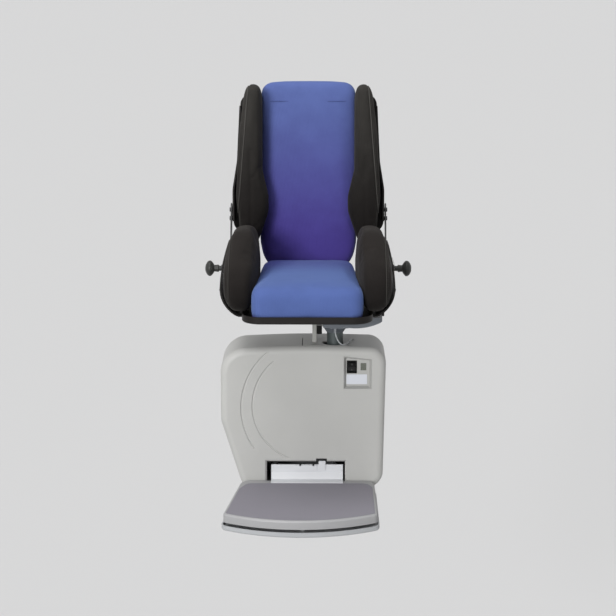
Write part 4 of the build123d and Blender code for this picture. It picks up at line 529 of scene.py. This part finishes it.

# Painted shade: the back cushion's blue is painted darker and violet low down, and lighter and bluer towards its top.
blueCloth = {
    "colour": (0.060, 0.042, 0.225), "roughness": 0.88, "rows": 330.0, "fuzz": 0.35, "sheen": 0.30,
    "sheenTint": (0.35, 0.50, 0.80), "depth": 0.0006,
    "paintedShadeRamps": [("Z", 0.30, 0.74, (0.092, 0.130, 0.330))],
}
# Painted shade: the seat cushion is painted darker and violet towards its back, and lighter and bluer towards its
# front.
seatCloth = dict(blueCloth, colour=(0.046, 0.050, 0.205), paintedShadeRamps=[("Y", -0.150, -0.300, (0.077, 0.118, 0.310))])
# Painted light: the wing pads' black cloth is painted lighter towards their tops.
blackCloth = {
    "colour": (0.0085, 0.0072, 0.0068), "roughness": 0.9, "rows": 300.0, "fuzz": 0.30, "sheen": 0.06,
    "sheenTint": (0.75, 0.72, 0.66), "depth": 0.0006,
    "paintedShadeRamps": [("Z", 0.36, 0.70, (0.033, 0.0310, 0.0285))],
}
blueKnit = knitFabric("blueKnit", blueCloth)
seatKnit = knitFabric("seatKnit", seatCloth)
blackKnit = knitFabric("blackKnit", blackCloth)
# Painted light: the hip pads' black cloth is painted lighter towards their tops.
hipKnit = knitFabric("hipKnit", dict(blackCloth, paintedShadeRamps=[("Z", 0.20, 0.38, (0.0175, 0.0150, 0.0140))]))
# Painted light: the black piping is painted lighter higher up.
blackPiping = knitFabric("blackPiping", dict(
    blackCloth, colour=(0.042, 0.040, 0.037), rows=700.0, paintedShadeRamps=[("Z", 0.30, 0.65, (0.075, 0.072, 0.067))],
))
# Painted shade: the blue piping takes the back cushion's ramp, darker and violet low down, lighter and bluer higher up.
bluePiping = knitFabric("bluePiping", dict(blueCloth, rows=700.0))
# Painted shade: a near-black cloth that stands for the shade inside the harness slits.
slitShadeSheet = knitFabric("slitShadeSheet", dict(blueCloth, colour=(0.012, 0.014, 0.045), paintedShadeRamps=[], sheen=0.05))
blackThread = mouldedPlastic("blackThread", (0.055, 0.052, 0.048), 0.7, 2400.0, 0.0001, 0.1)
blueThread = mouldedPlastic("blueThread", (0.10, 0.13, 0.34), 0.7, 2400.0, 0.0001, 0.1)


def displayGlass():
    finish = Finish("displayWindow", (0.105, 0.112, 0.092), 0.16, 0.5)
    ghost = noiseAt(finish.tree, finish.where, 420.0, 1.0)
    finish.link(finish.shade(mapRange(finish.tree, ghost, 0.35, 0.65, 0.86, 1.14)), "Base Color")
    finish.shader.inputs["Coat Weight"].default_value = 0.6
    return finish.material


displayWindow = displayGlass()
print("finishes ready")

dressing = {
    coverPlastic: ["front_cover", "top_insert"],
    chassisSteel: [
        "chassis_plate", "battery_tray", "upper_trolley", "lower_trolley", "footrest_bracket", "footrest_frame",
    ],
    zincSteel: ["chassis_fasteners", "tray_springs", "swivel_lever"],
    toolSteel: ["drive_pinion", "footrest_pin"],
    castingPaint: ["post_clamp", "swivel_head", "gearbox_housing", "post_race"],
    postPaint: ["seat_post"],
    ductPlastic: ["cable_duct"],
    glossBlack: ["seat_switch", "switch_frame", "rocker_button"],
    cableRubber: ["seat_cable"],
    batteryPlastic: ["battery_pair", "controller_box"],
    darkPaint: ["motor_can", "brake_unit", "seat_subframe", "side_arms"],
    bronze: ["bearings", "worm_wheel", "charge_contacts"],
    rollerTread: [
        "upper_roller_left", "upper_roller_right", "under_roller_left", "under_roller_right",
        "guide_roller_left", "guide_roller_right",
    ],
    consolePlastic: ["console_panel"],
    displayWindow: ["display_window"],
    boardPlate: ["label_plate"],
    shellPlastic: ["footrest_shell"],
    trayPlastic: ["safety_tray"],
    matRubber: ["footrest_mat"],
    whitePlastic: ["hinge_cover"],
    blackPlastic: ["lever_grip", "seat_tray", "hip_shell_left", "hip_shell_right", "recline_discs", "back_shell"],
    polishedSteel: ["clamp_washers"],
    charcoalPlastic: ["knob_left", "knob_right"],
    blueKnit: ["back_cushion"],
    seatKnit: ["seat_cushion"],
    blackKnit: ["wing_pad_left", "wing_pad_right"],
    hipKnit: ["hip_pad_left", "hip_pad_right"],
}


def dressNodes():
    dressed = set()
    for material, names in dressing.items():
        for name in names:
            node = nodes[name]
            if not node.material_slots:
                node.data.materials.append(material)
            for slot in node.material_slots:
                slot.link = "OBJECT"
                slot.material = material
            dressed.add(name)
    print("nodes dressed:", len(dressed), "left:", sorted(set(nodes) - dressed))


dressNodes()
cableCurve.data.materials.append(cableRubber)


# Soft pads: each starts from its solid and is blown up as cloth over a few frames. Firm foam moves less.
firmFoam = {
    "slot": "blue_fabric", "voxel": 0.005, "grow": 0.0010, "pressure": 0.7, "stiffness": 60, "cap": 0.0035, "fill": 0.9,
}
softFoam = {
    "slot": "black_fabric", "voxel": 0.0045, "grow": 0.0, "pressure": 2.5, "stiffness": 20, "cap": 0.0045, "fill": 0.8,
}
wingFoam = dict(softFoam, body="backrest", material=blackKnit, cap=0.0030)
hipFoam = dict(softFoam, body="seat", material=hipKnit)
padding = {
    "seatCushion": dict(firmFoam, node="seat_cushion", body="seat", material=seatKnit),
    "backCushion": dict(firmFoam, node="back_cushion", body="backrest", material=blueKnit),
    "hipPadLeft": dict(hipFoam, node="hip_pad_left"),
    "hipPadRight": dict(hipFoam, node="hip_pad_right"),
    "wingPadLeft": dict(wingFoam, node="wing_pad_left"),
    "wingPadRight": dict(wingFoam, node="wing_pad_right"),
}
blowing = {"frames": 18, "mass": 0.3, "bending": 0.6}


def bakedMesh(obj):
    # The object's mesh with its modifiers applied.
    graph = bpy.context.evaluated_depsgraph_get()
    graph.update()
    return bpy.data.meshes.new_from_object(obj.evaluated_get(graph), depsgraph=graph)


def newPiece(name, mesh, material=None):
    piece = bpy.data.objects.new(name, mesh)
    scene.collection.objects.link(piece)
    if material is not None:
        mesh.materials.clear()
        mesh.materials.append(material)
    return piece


def meshFrom(work, name):
    mesh = bpy.data.meshes.new(name)
    work.to_mesh(mesh)
    work.free()
    return mesh


def weldedCopy(nodeName):
    work = bmesh.new()
    work.from_mesh(nodes[nodeName].data)
    bmesh.ops.remove_doubles(work, verts=work.verts, dist=0.00002)
    bmesh.ops.recalc_face_normals(work, faces=work.faces)
    return meshFrom(work, nodeName + "Copy")


def remeshed(mesh, voxel, grow):
    helper = newPiece("remeshHelper", mesh)
    grid = helper.modifiers.new("grid", "REMESH")
    grid.mode = "VOXEL"
    grid.voxel_size = voxel
    smooth = helper.modifiers.new("smooth", "SMOOTH")
    smooth.factor = 0.5
    smooth.iterations = 6
    swell = helper.modifiers.new("swell", "DISPLACE")
    swell.mid_level = 0.0
    swell.strength = grow
    result = bakedMesh(helper)
    bpy.data.objects.remove(helper)
    return result


def blownUp(piece, settings):
    before = [vertex.co.copy() for vertex in piece.data.vertices]
    cloth = piece.modifiers.new("cloth", "CLOTH")
    cloth.settings.use_pressure = True
    cloth.settings.uniform_pressure_force = settings["pressure"]
    cloth.settings.mass = blowing["mass"]
    cloth.settings.tension_stiffness = settings["stiffness"]
    cloth.settings.compression_stiffness = settings["stiffness"]
    cloth.settings.bending_stiffness = blowing["bending"]
    cloth.settings.effector_weights.gravity = 0.0
    cloth.point_cache.frame_start = 1
    cloth.point_cache.frame_end = blowing["frames"]
    for number in range(1, blowing["frames"] + 1):
        scene.frame_set(number)
    after = bakedMesh(piece)
    places = [vertex.co.copy() for vertex in after.vertices]
    piece.modifiers.remove(cloth)
    bpy.data.meshes.remove(after)
    scene.frame_set(1)
    for vertex, start, end in zip(piece.data.vertices, before, places):
        step = end - start
        if step.length > settings["cap"]:
            step = step.normalized() * settings["cap"]
        vertex.co = start + step


def finishPad(piece, settings):
    for face in piece.data.polygons:
        face.use_smooth = True
    smooth = piece.modifiers.new("smooth", "SMOOTH")
    smooth.factor = 0.5
    smooth.iterations = 3
    fine = piece.modifiers.new("fine", "SUBSURF")
    fine.levels = 1
    fine.render_levels = 1
    piece.data = bakedMesh(piece)
    piece.modifiers.clear()
    for face in piece.data.polygons:
        face.use_smooth = True
    piece.data.materials.clear()
    piece.data.materials.append(settings["material"])


pads = {}


def buildPads():
    for name, settings in padding.items():
        mesh = remeshed(weldedCopy(settings["node"]), settings["voxel"], settings["grow"])
        piece = newPiece(name, mesh)
        blownUp(piece, settings)
        finishPad(piece, settings)
        pads[name] = piece
        print("pad", name, len(piece.data.polygons), "faces")


buildPads()

for name, settings in padding.items():
    piece = pads[name]
    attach(piece, settings["body"])
    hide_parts(settings["node"])

# The back rest leans: these turn a reach, a height up the cushion and a depth in front of it into a place.
backRest = {"origin": Vector((0.0095, -0.0820, 0.2910)), "lean": math.radians(6.0)}
backForward = Vector((0.0, -math.cos(backRest["lean"]), math.sin(backRest["lean"])))
backUpward = Vector((0.0, math.sin(backRest["lean"]), math.cos(backRest["lean"])))


def backPlace(reach, up, depth=0.0):
    return backRest["origin"] + Vector((reach, 0.0, 0.0)) + backUpward * up + backForward * depth


def surfaceTree(piece):
    work = bmesh.new()
    work.from_mesh(piece.data)
    tree = BVHTree.FromBMesh(work)
    work.free()
    return tree


# Seams: the pad is drawn in along a plane, and piping lies in the line where that plane cuts it.
wingSeam = {"body": "backrest", "slot": "black_fabric", "material": blackPiping, "radius": 0.0013}
hipSeam = {"body": "seat", "slot": "black_fabric", "material": blackPiping, "radius": 0.0012, "facing": (1.0, 0.0, 0.0)}
blueSeam = {"slot": "blue_fabric", "material": bluePiping, "radius": 0.0014}
sides = {"Left": -1, "Right": 1}
seams = {}
for label, side in sides.items():
    seams["wingPiping" + label] = dict(
        wingSeam, pad="wingPad" + label, point=backPlace(side * 0.1520, 0.20, 0.0), facing=(1.0, 0.0, side * 0.083),
    )
for label, side in sides.items():
    seams["hipPiping" + label] = dict(hipSeam, pad="hipPad" + label, inFromOuter=side * 0.013)
seams["backPiping"] = dict(
    blueSeam, pad="backCushion", body="backrest", point=backPlace(0.0, 0.2, -0.040), facing=tuple(backForward),
)
seams["seatPiping"] = dict(blueSeam, pad="seatCushion", body="seat", inFromOuter=None, facing=(0.0, 0.0, 1.0))
seamPress = {"depth": 0.0013, "width": 0.0032}


def pressLine(piece, point, facing):
    normals = [vertex.normal.copy() for vertex in piece.data.vertices]
    for vertex, normal in zip(piece.data.vertices, normals):
        away = (vertex.co - point).dot(facing) / seamPress["width"]
        if abs(away) < 3.0:
            vertex.co -= normal * seamPress["depth"] * math.exp(-away * away)


def cutLoop(piece, point, facing):
    # The longest closed line in which a plane cuts the piece, as places and surface normals.
    work = bmesh.new()
    work.from_mesh(piece.data)
    whole = work.verts[:] + work.edges[:] + work.faces[:]
    cut = bmesh.ops.bisect_plane(work, geom=whole, plane_co=point, plane_no=facing, dist=1e-6)["geom_cut"]
    beside = {}
    for edge in cut:
        if isinstance(edge, bmesh.types.BMEdge):
            first, second = edge.verts
            beside.setdefault(first, []).append(second)
            beside.setdefault(second, []).append(first)
    longest, seen = [], set()
    for start in beside:
        if start in seen:
            continue
        line, here = [start], start
        seen.add(start)
        while True:
            following = [vertex for vertex in beside[here] if vertex not in seen]
            if not following:
                break
            here = following[0]
            seen.add(here)
            line.append(here)
        if len(line) > len(longest):
            longest = line
    loop = [(vertex.co.copy(), vertex.normal.copy()) for vertex in longest]
    work.free()
    return loop


def evenLoop(loop, spacing):
    places = [place for place, normal in loop]
    lengths = [0.0]
    for here, there in zip(places, places[1:] + places[:1]):
        lengths.append(lengths[-1] + (there - here).length)
    count = max(12, int(lengths[-1] / spacing))
    even, at = [], 0
    for number in range(count):
        wanted = lengths[-1] * number / count
        while lengths[at + 1] < wanted:
            at += 1
        share = (wanted - lengths[at]) / max(1e-9, lengths[at + 1] - lengths[at])
        first, second = loop[at], loop[(at + 1) % len(loop)]
        even.append((first[0].lerp(second[0], share), first[1].lerp(second[1], share).normalized()))
    for turn in range(3):
        even = [
            (
                (even[k - 1][0] + even[k][0] * 2 + even[(k + 1) % count][0]) / 4,
                (even[k - 1][1] + even[k][1] * 2 + even[(k + 1) % count][1]).normalized(),
            )
            for k in range(count)
        ]
    return even


def tubeAlong(name, path, radius, material, lift, closed=True, sides=8, taper=False):
    work = bmesh.new()
    rings = []
    count = len(path)
    for number, (place, normal) in enumerate(path):
        before = path[number - 1][0] if closed or number else place
        after = path[(number + 1) % count][0] if closed or number + 1 < count else place
        along = (after - before).normalized()
        across = along.cross(normal).normalized()
        above = across.cross(along)
        size = radius
        if taper:
            size *= max(0.15, math.sqrt(math.sin(math.pi * (number + 0.5) / count)))
        ring = []
        for side in range(sides):
            angle = 2 * math.pi * side / sides
            ring.append(work.verts.new(
                place + above * (lift + size * math.cos(angle)) + across * (size * math.sin(angle))
            ))
        rings.append(ring)
    for number in range(count if closed else count - 1):
        first, second = rings[number], rings[(number + 1) % count]
        for side in range(sides):
            beyond = (side + 1) % sides
            work.faces.new((first[side], first[beyond], second[beyond], second[side]))
    if not closed:
        work.faces.new(rings[0])
        work.faces.new(rings[-1])
    bmesh.ops.recalc_face_normals(work, faces=work.faces)
    for face in work.faces:
        face.smooth = True
    return newPiece(name, meshFrom(work, name), material)


# Geometry Nodes trees for what repeats.
def newTree(name, inputs):
    tree = bpy.data.node_groups.new(name, "GeometryNodeTree")
    tree.interface.new_socket("Geometry", in_out="INPUT", socket_type="NodeSocketGeometry")
    for label, kind in inputs:
        tree.interface.new_socket(label, in_out="INPUT", socket_type=kind)
    tree.interface.new_socket("Geometry", in_out="OUTPUT", socket_type="NodeSocketGeometry")
    return tree, tree.nodes.new("NodeGroupInput"), tree.nodes.new("NodeGroupOutput")


def connect(tree, *links):
    for start, output, end, socket in links:
        tree.links.new(start.outputs[output], end.inputs[socket])


def finishTree(tree, given, out, placed):
    realize = tree.nodes.new("GeometryNodeRealizeInstances")
    painted = tree.nodes.new("GeometryNodeSetMaterial")
    connect(
        tree, (placed, "Instances", realize, "Geometry"), (realize, "Geometry", painted, "Geometry"),
        (given, "Material", painted, "Material"), (painted, "Geometry", out, "Geometry"),
    )
    return tree


def buildStitchTree():
    tree, given, out = newTree("stitchRow", [
        ("Spacing", "NodeSocketFloat"), ("Stitch Length", "NodeSocketFloat"),
        ("Thread Radius", "NodeSocketFloat"), ("Material", "NodeSocketMaterial"),
    ])
    line = tree.nodes.new("GeometryNodeMeshToCurve")
    even = tree.nodes.new("GeometryNodeResampleCurve")
    even.mode = "LENGTH"
    along = tree.nodes.new("GeometryNodeInputTangent")
    turned = tree.nodes.new("FunctionNodeAlignRotationToVector")
    turned.axis = "Z"
    thread = tree.nodes.new("GeometryNodeMeshCylinder")
    thread.inputs["Vertices"].default_value = 6
    rows = tree.nodes.new("GeometryNodeInstanceOnPoints")
    connect(
        tree, (given, "Geometry", line, "Mesh"), (line, "Curve", even, "Curve"), (given, "Spacing", even, "Length"),
        (along, "Tangent", turned, "Vector"), (given, "Thread Radius", thread, "Radius"),
        (given, "Stitch Length", thread, "Depth"), (even, "Curve", rows, "Points"),
        (thread, "Mesh", rows, "Instance"), (turned, "Rotation", rows, "Rotation"),
    )
    return finishTree(tree, given, out, rows)


def buildHeadTree():
    tree, given, out = newTree("screwHeads", [
        ("Head", "NodeSocketObject"), ("Scale", "NodeSocketFloat"), ("Material", "NodeSocketMaterial"),
    ])
    shape = tree.nodes.new("GeometryNodeObjectInfo")
    facing = tree.nodes.new("GeometryNodeInputNamedAttribute")
    facing.data_type = "FLOAT_VECTOR"
    facing.inputs["Name"].default_value = "facing"
    turned = tree.nodes.new("FunctionNodeAlignRotationToVector")
    turned.axis = "Z"
    heads = tree.nodes.new("GeometryNodeInstanceOnPoints")
    connect(
        tree, (given, "Head", shape, "Object"), (facing, "Attribute", turned, "Vector"),
        (given, "Geometry", heads, "Points"), (shape, "Geometry", heads, "Instance"),
        (turned, "Rotation", heads, "Rotation"), (given, "Scale", heads, "Scale"),
    )
    return finishTree(tree, given, out, heads)


def buildSpringTree():
    tree, given, out = newTree("coilSprings", [
        ("Coil Radius", "NodeSocketFloat"), ("Height", "NodeSocketFloat"), ("Turns", "NodeSocketFloat"),
        ("Wire Radius", "NodeSocketFloat"), ("Material", "NodeSocketMaterial"),
    ])
    coil = tree.nodes.new("GeometryNodeCurveSpiral")
    coil.inputs["Resolution"].default_value = 20
    ring = tree.nodes.new("GeometryNodeCurvePrimitiveCircle")
    ring.inputs["Resolution"].default_value = 8
    wire = tree.nodes.new("GeometryNodeCurveToMesh")
    wire.inputs["Fill Caps"].default_value = True
    coils = tree.nodes.new("GeometryNodeInstanceOnPoints")
    connect(
        tree, (given, "Coil Radius", coil, "Start Radius"), (given, "Coil Radius", coil, "End Radius"),
        (given, "Height", coil, "Height"), (given, "Turns", coil, "Rotations"),
        (given, "Wire Radius", ring, "Radius"), (coil, "Curve", wire, "Curve"),
        (ring, "Curve", wire, "Profile Curve"), (given, "Geometry", coils, "Points"), (wire, "Mesh", coils, "Instance"),
    )
    return finishTree(tree, given, out, coils)


stitchTree = buildStitchTree()
headTree = buildHeadTree()
springTree = buildSpringTree()


def grown(name, points, tree, values, edges=(), facings=None):
    # A plain mesh piece from a tree that runs on the given points or line.
    mesh = bpy.data.meshes.new(name + "Base")
    mesh.from_pydata([tuple(point) for point in points], list(edges), [])
    if facings:
        stored = mesh.attributes.new("facing", "FLOAT_VECTOR", "POINT")
        for number, facing in enumerate(facings):
            stored.data[number].vector = facing
    piece = newPiece(name, mesh)
    modifier = piece.modifiers.new("grow", "NODES")
    modifier.node_group = tree
    for item in tree.interface.items_tree:
        if item.item_type == "SOCKET" and item.in_out == "INPUT" and item.name in values:
            modifier[item.identifier] = values[item.name]
    piece.data = bakedMesh(piece)
    piece.modifiers.clear()
    bpy.data.meshes.remove(mesh)
    return piece


stitching = {"spacing": 0.0052, "length": 0.0034, "thread": 0.00035, "aside": 0.0042}
pipingStep = 0.004
seatSeamUp = 0.014


def addSeams():
    for name, seam in seams.items():
        pad = pads[seam["pad"]]
        facing = Vector(seam["facing"]).normalized()
        if "point" in seam:
            point = seam["point"]
        else:
            low = Vector([min(v.co[k] for v in pad.data.vertices) for k in range(3)])
            high = Vector([max(v.co[k] for v in pad.data.vertices) for k in range(3)])
            if seam["inFromOuter"] is None:
                point = Vector((0.0, 0.0, low.z + seatSeamUp))
            elif seam["inFromOuter"] < 0:
                point = Vector((low.x - seam["inFromOuter"], 0.0, 0.0))
            else:
                point = Vector((high.x - seam["inFromOuter"], 0.0, 0.0))
        pressLine(pad, point, facing)
        loop = evenLoop(cutLoop(pad, point, facing), pipingStep)
        piping = tubeAlong(name, loop, seam["radius"], seam["material"], seam["radius"] * 0.45)
        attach(piping, seam["body"])
        surface = surfaceTree(pad)
        row = []
        for number, (place, normal) in enumerate(loop):
            along = loop[(number + 1) % len(loop)][0] - loop[number - 1][0]
            aside = along.cross(normal).normalized() * stitching["aside"]
            nearest, outward = surface.find_nearest(place + aside)[:2]
            row.append(nearest + outward * stitching["thread"] * 0.6)
        edges = [(k, (k + 1) % len(row)) for k in range(len(row))]
        thread = blueThread if seam["slot"] == "blue_fabric" else blackThread
        stitches = grown(name.replace("Piping", "Stitches"), row, stitchTree, {
            "Spacing": stitching["spacing"], "Stitch Length": stitching["length"],
            "Thread Radius": stitching["thread"], "Material": thread,
        }, edges)
        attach(stitches, seam["body"])
        print("seam", name, len(loop), "points")


# Soft folds in the wings, as lines up the back rest that are pressed into the pad's front.
folds = {
    "wingPadLeft": [
        {"line": [(-0.1320, 0.250), (-0.1305, 0.180), (-0.1300, 0.120), (-0.1315, 0.075)],
         "depth": 0.0022, "width": 0.0050},
        {"line": [(-0.1110, 0.212), (-0.1240, 0.190)], "depth": 0.0016, "width": 0.0045},
        {"line": [(-0.1020, 0.095), (-0.1200, 0.078)], "depth": 0.0016, "width": 0.0050},
    ],
    "wingPadRight": [
        {"line": [(0.1310, 0.235), (0.1295, 0.170), (0.1290, 0.110), (0.1310, 0.072)],
         "depth": 0.0016, "width": 0.0055},
        {"line": [(0.1110, 0.205), (0.1260, 0.185)], "depth": 0.0014, "width": 0.0050},
    ],
}


def awayFromLine(reach, up, line):
    nearest = 1.0
    for (x0, z0), (x1, z1) in zip(line, line[1:]):
        run = Vector((x1 - x0, z1 - z0))
        share = max(0.0, min(1.0, Vector((reach - x0, up - z0)).dot(run) / run.length_squared))
        nearest = min(nearest, math.hypot(reach - x0 - run.x * share, up - z0 - run.y * share))
    return nearest


def pressFolds():
    for name, lines in folds.items():
        pad = pads[name]
        normals = [vertex.normal.copy() for vertex in pad.data.vertices]
        for vertex, normal in zip(pad.data.vertices, normals):
            facing = normal.dot(backForward)
            if facing < 0.2:
                continue
            there = vertex.co - backRest["origin"]
            for fold in lines:
                away = awayFromLine(there.x, there.dot(backUpward), fold["line"]) / fold["width"]
                if away < 3.0:
                    vertex.co -= normal * fold["depth"] * facing * math.exp(-away * away)


# Two closed slits for a harness near the top of the back cushion: a sheet painted dark as the slit's shade, between two
# welts.
slits = {"up": 0.3615, "width": 0.044, "centres": {"harnessSlitLeft": -0.067, "harnessSlitRight": 0.065},
         "open": 0.0011, "welt": 0.0008, "steps": 16}


def onPad(surface, reach, up):
    return surface.ray_cast(backPlace(reach, up, 0.10), -backForward, 0.2)[:2]


def addSlits():
    surface = surfaceTree(pads["backCushion"])
    for name, centre in slits["centres"].items():
        lips = {}
        for side in (-1, 1):
            path = []
            for step in range(slits["steps"] + 1):
                share = step / slits["steps"]
                gape = slits["open"] * math.sqrt(max(0.0, math.sin(math.pi * share)))
                path.append(onPad(surface, centre + (share - 0.5) * slits["width"], slits["up"] + side * gape))
            lips[side] = path
            label = name + ("Welt" if side > 0 else "Hem")
            welt = tubeAlong(label, path, slits["welt"], blueKnit, 0.0, closed=False, taper=True)
            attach(welt, "backrest")
        # Painted shade: the slot between the lips is a dark sheet in place of the shade inside the slit.
        work = bmesh.new()
        rows = [
            [work.verts.new(place + normal * lift) for place, normal in lips[side]]
            for side, lift in ((-1, 0.0003), (1, 0.0003), (1, -0.0020), (-1, -0.0020))
        ]
        for first, second in zip(rows, rows[1:] + rows[:1]):
            for number in range(slits["steps"]):
                work.faces.new((first[number], first[number + 1], second[number + 1], second[number]))
        work.faces.new([row[0] for row in rows])
        work.faces.new([row[-1] for row in rows])
        bmesh.ops.recalc_face_normals(work, faces=work.faces)
        slot = newPiece(name, meshFrom(work, name), slitShadeSheet)
        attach(slot, "backrest")


pressFolds()
addSeams()
addSlits()
print("seams, folds and slits ready")

# Screw heads with a hexagon socket, set on the surfaces that they hold.
screws = {
    "radius": 0.0052, "height": 0.0034, "segments": 12, "sunk": 0.0003,
    "backReach": 0.1303, "backUps": (0.13, 0.32),
    "hipMiddle": 0.0095, "hipPlaces": ((-0.300, 0.262), (-0.225, 0.300), (-0.190, 0.240)),
}


def headShape():
    work = bmesh.new()
    radius, height = screws["radius"], screws["height"]
    profile = [(1.0, 0.0), (1.0, 0.35), (0.90, 0.75), (0.66, 1.0), (0.50, 1.0), (0.50, 0.35)]
    rings = []
    for number, (share, up) in enumerate(profile):
        ring = []
        for segment in range(screws["segments"]):
            angle = 2 * math.pi * segment / screws["segments"]
            reach = radius * share
            if number >= 4 and segment % 2:
                reach *= math.cos(math.pi / 6)
            ring.append(work.verts.new((reach * math.cos(angle), reach * math.sin(angle), up * height)))
        rings.append(ring)
    for first, second in zip(rings, rings[1:]):
        for segment in range(screws["segments"]):
            beyond = (segment + 1) % screws["segments"]
            work.faces.new((first[segment], first[beyond], second[beyond], second[segment]))
    work.faces.new(rings[-1])
    work.faces.new(list(reversed(rings[0])))
    return newPiece("screwHead", meshFrom(work, "screwHead"))


def nodeSurface(name):
    return BVHTree.FromPolygons(
        [vertex.co.copy() for vertex in nodes[name].data.vertices],
        [tuple(polygon.vertices) for polygon in nodes[name].data.polygons],
    )


def addScrews():
    shape = headShape()
    rear = nodeSurface("back_shell")
    shots = [
        (rear, backPlace(side * screws["backReach"], up, -0.30), backForward)
        for side in (-1, 1) for up in screws["backUps"]
    ]
    groups = {"backShellScrews": ("backrest", "zinc_steel", shots)}
    shots = []
    for side, node in ((-1, "hip_shell_left"), (1, "hip_shell_right")):
        outer = nodeSurface(node)
        for y, z in screws["hipPlaces"]:
            shots.append((outer, Vector((screws["hipMiddle"] + side * 0.30, y, z)), Vector((-side, 0.0, 0.0))))
    groups["hipShellScrews"] = ("seat", "zinc_steel", shots)
    for name, (body, slotName, shots) in groups.items():
        places, facings = [], []
        for surface, start, heading in shots:
            place, normal = surface.ray_cast(start, heading, 0.5)[:2]
            if place is None:
                print("no surface for a screw of", name)
                continue
            if normal.dot(heading) > 0:
                normal = -normal
            places.append(place - normal * screws["sunk"])
            facings.append(normal)
        values = {"Head": shape, "Scale": 1.0, "Material": darkPaint}
        heads = grown(name, places, headTree, values, facings=facings)
        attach(heads, body)
        print(name, len(places))
    bpy.data.objects.remove(shape)


addScrews()

# Wire springs between the footrest's plate and its safety pan.
springLow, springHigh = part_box("tray_springs")
springs = {
    "places": [(-0.120, -0.260), (0.120, -0.260), (-0.120, -0.410), (0.120, -0.410)],
    "low": springLow[2], "height": springHigh[2] - springLow[2], "coil": 0.0038, "wire": 0.00065, "turns": 4.5,
}


def addSprings():
    feet = [(x, y, springs["low"] + springs["wire"]) for x, y in springs["places"]]
    piece = grown("traySprings", feet, springTree, {
        "Coil Radius": springs["coil"], "Height": springs["height"] - 2 * springs["wire"],
        "Turns": springs["turns"], "Wire Radius": springs["wire"], "Material": zincSteel,
    })
    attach(piece, "safety_tray")
    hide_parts("tray_springs")
    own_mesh(piece)


addSprings()

# On and off marks on the rocker: a bar and a ring.
marks = {
    "x": 0.1094, "middle": 0.0615, "rise": 0.0062, "thick": 0.00012,
    "bar": (0.0008, 0.0036), "ring": (0.0012, 0.0018), "ringSteps": 20,
}


def addMarks():
    surface = nodeSurface("rocker_button")
    for name, side in (("rockerBar", -1), ("rockerRing", 1)):
        start = Vector((marks["x"], -0.30, marks["middle"] + side * marks["rise"]))
        place, normal = surface.ray_cast(start, Vector((0.0, 1.0, 0.0)), 0.3)[:2]
        if normal.y > 0:
            normal = -normal
        across = Vector((1.0, 0.0, 0.0))
        upward = normal.cross(across).normalized()
        if upward.z < 0:
            upward = -upward
        work = bmesh.new()
        if side < 0:
            half = [value / 2 for value in marks["bar"]]
            corners = [(-half[0], -half[1]), (half[0], -half[1]), (half[0], half[1]), (-half[0], half[1])]
            faces = [work.faces.new([work.verts.new(place + across * x + upward * z) for x, z in corners])]
        else:
            inner, outer, faces = [], [], []
            steps = marks["ringSteps"]
            for step in range(steps):
                angle = 2 * math.pi * step / steps
                outward = across * math.cos(angle) + upward * math.sin(angle)
                for ring, reach in zip((inner, outer), marks["ring"]):
                    ring.append(work.verts.new(place + outward * reach))
            for step in range(steps):
                beyond = (step + 1) % steps
                faces.append(work.faces.new((inner[step], outer[step], outer[beyond], inner[beyond])))
        raised = bmesh.ops.extrude_face_region(work, geom=faces)["geom"]
        for item in raised:
            if isinstance(item, bmesh.types.BMVert):
                item.co += normal * marks["thick"]
        bmesh.ops.recalc_face_normals(work, faces=work.faces)
        mark = newPiece(name, meshFrom(work, name), markPaint)
        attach(mark, "power_rocker")


addMarks()
print("screws, springs and marks ready")

print("done")
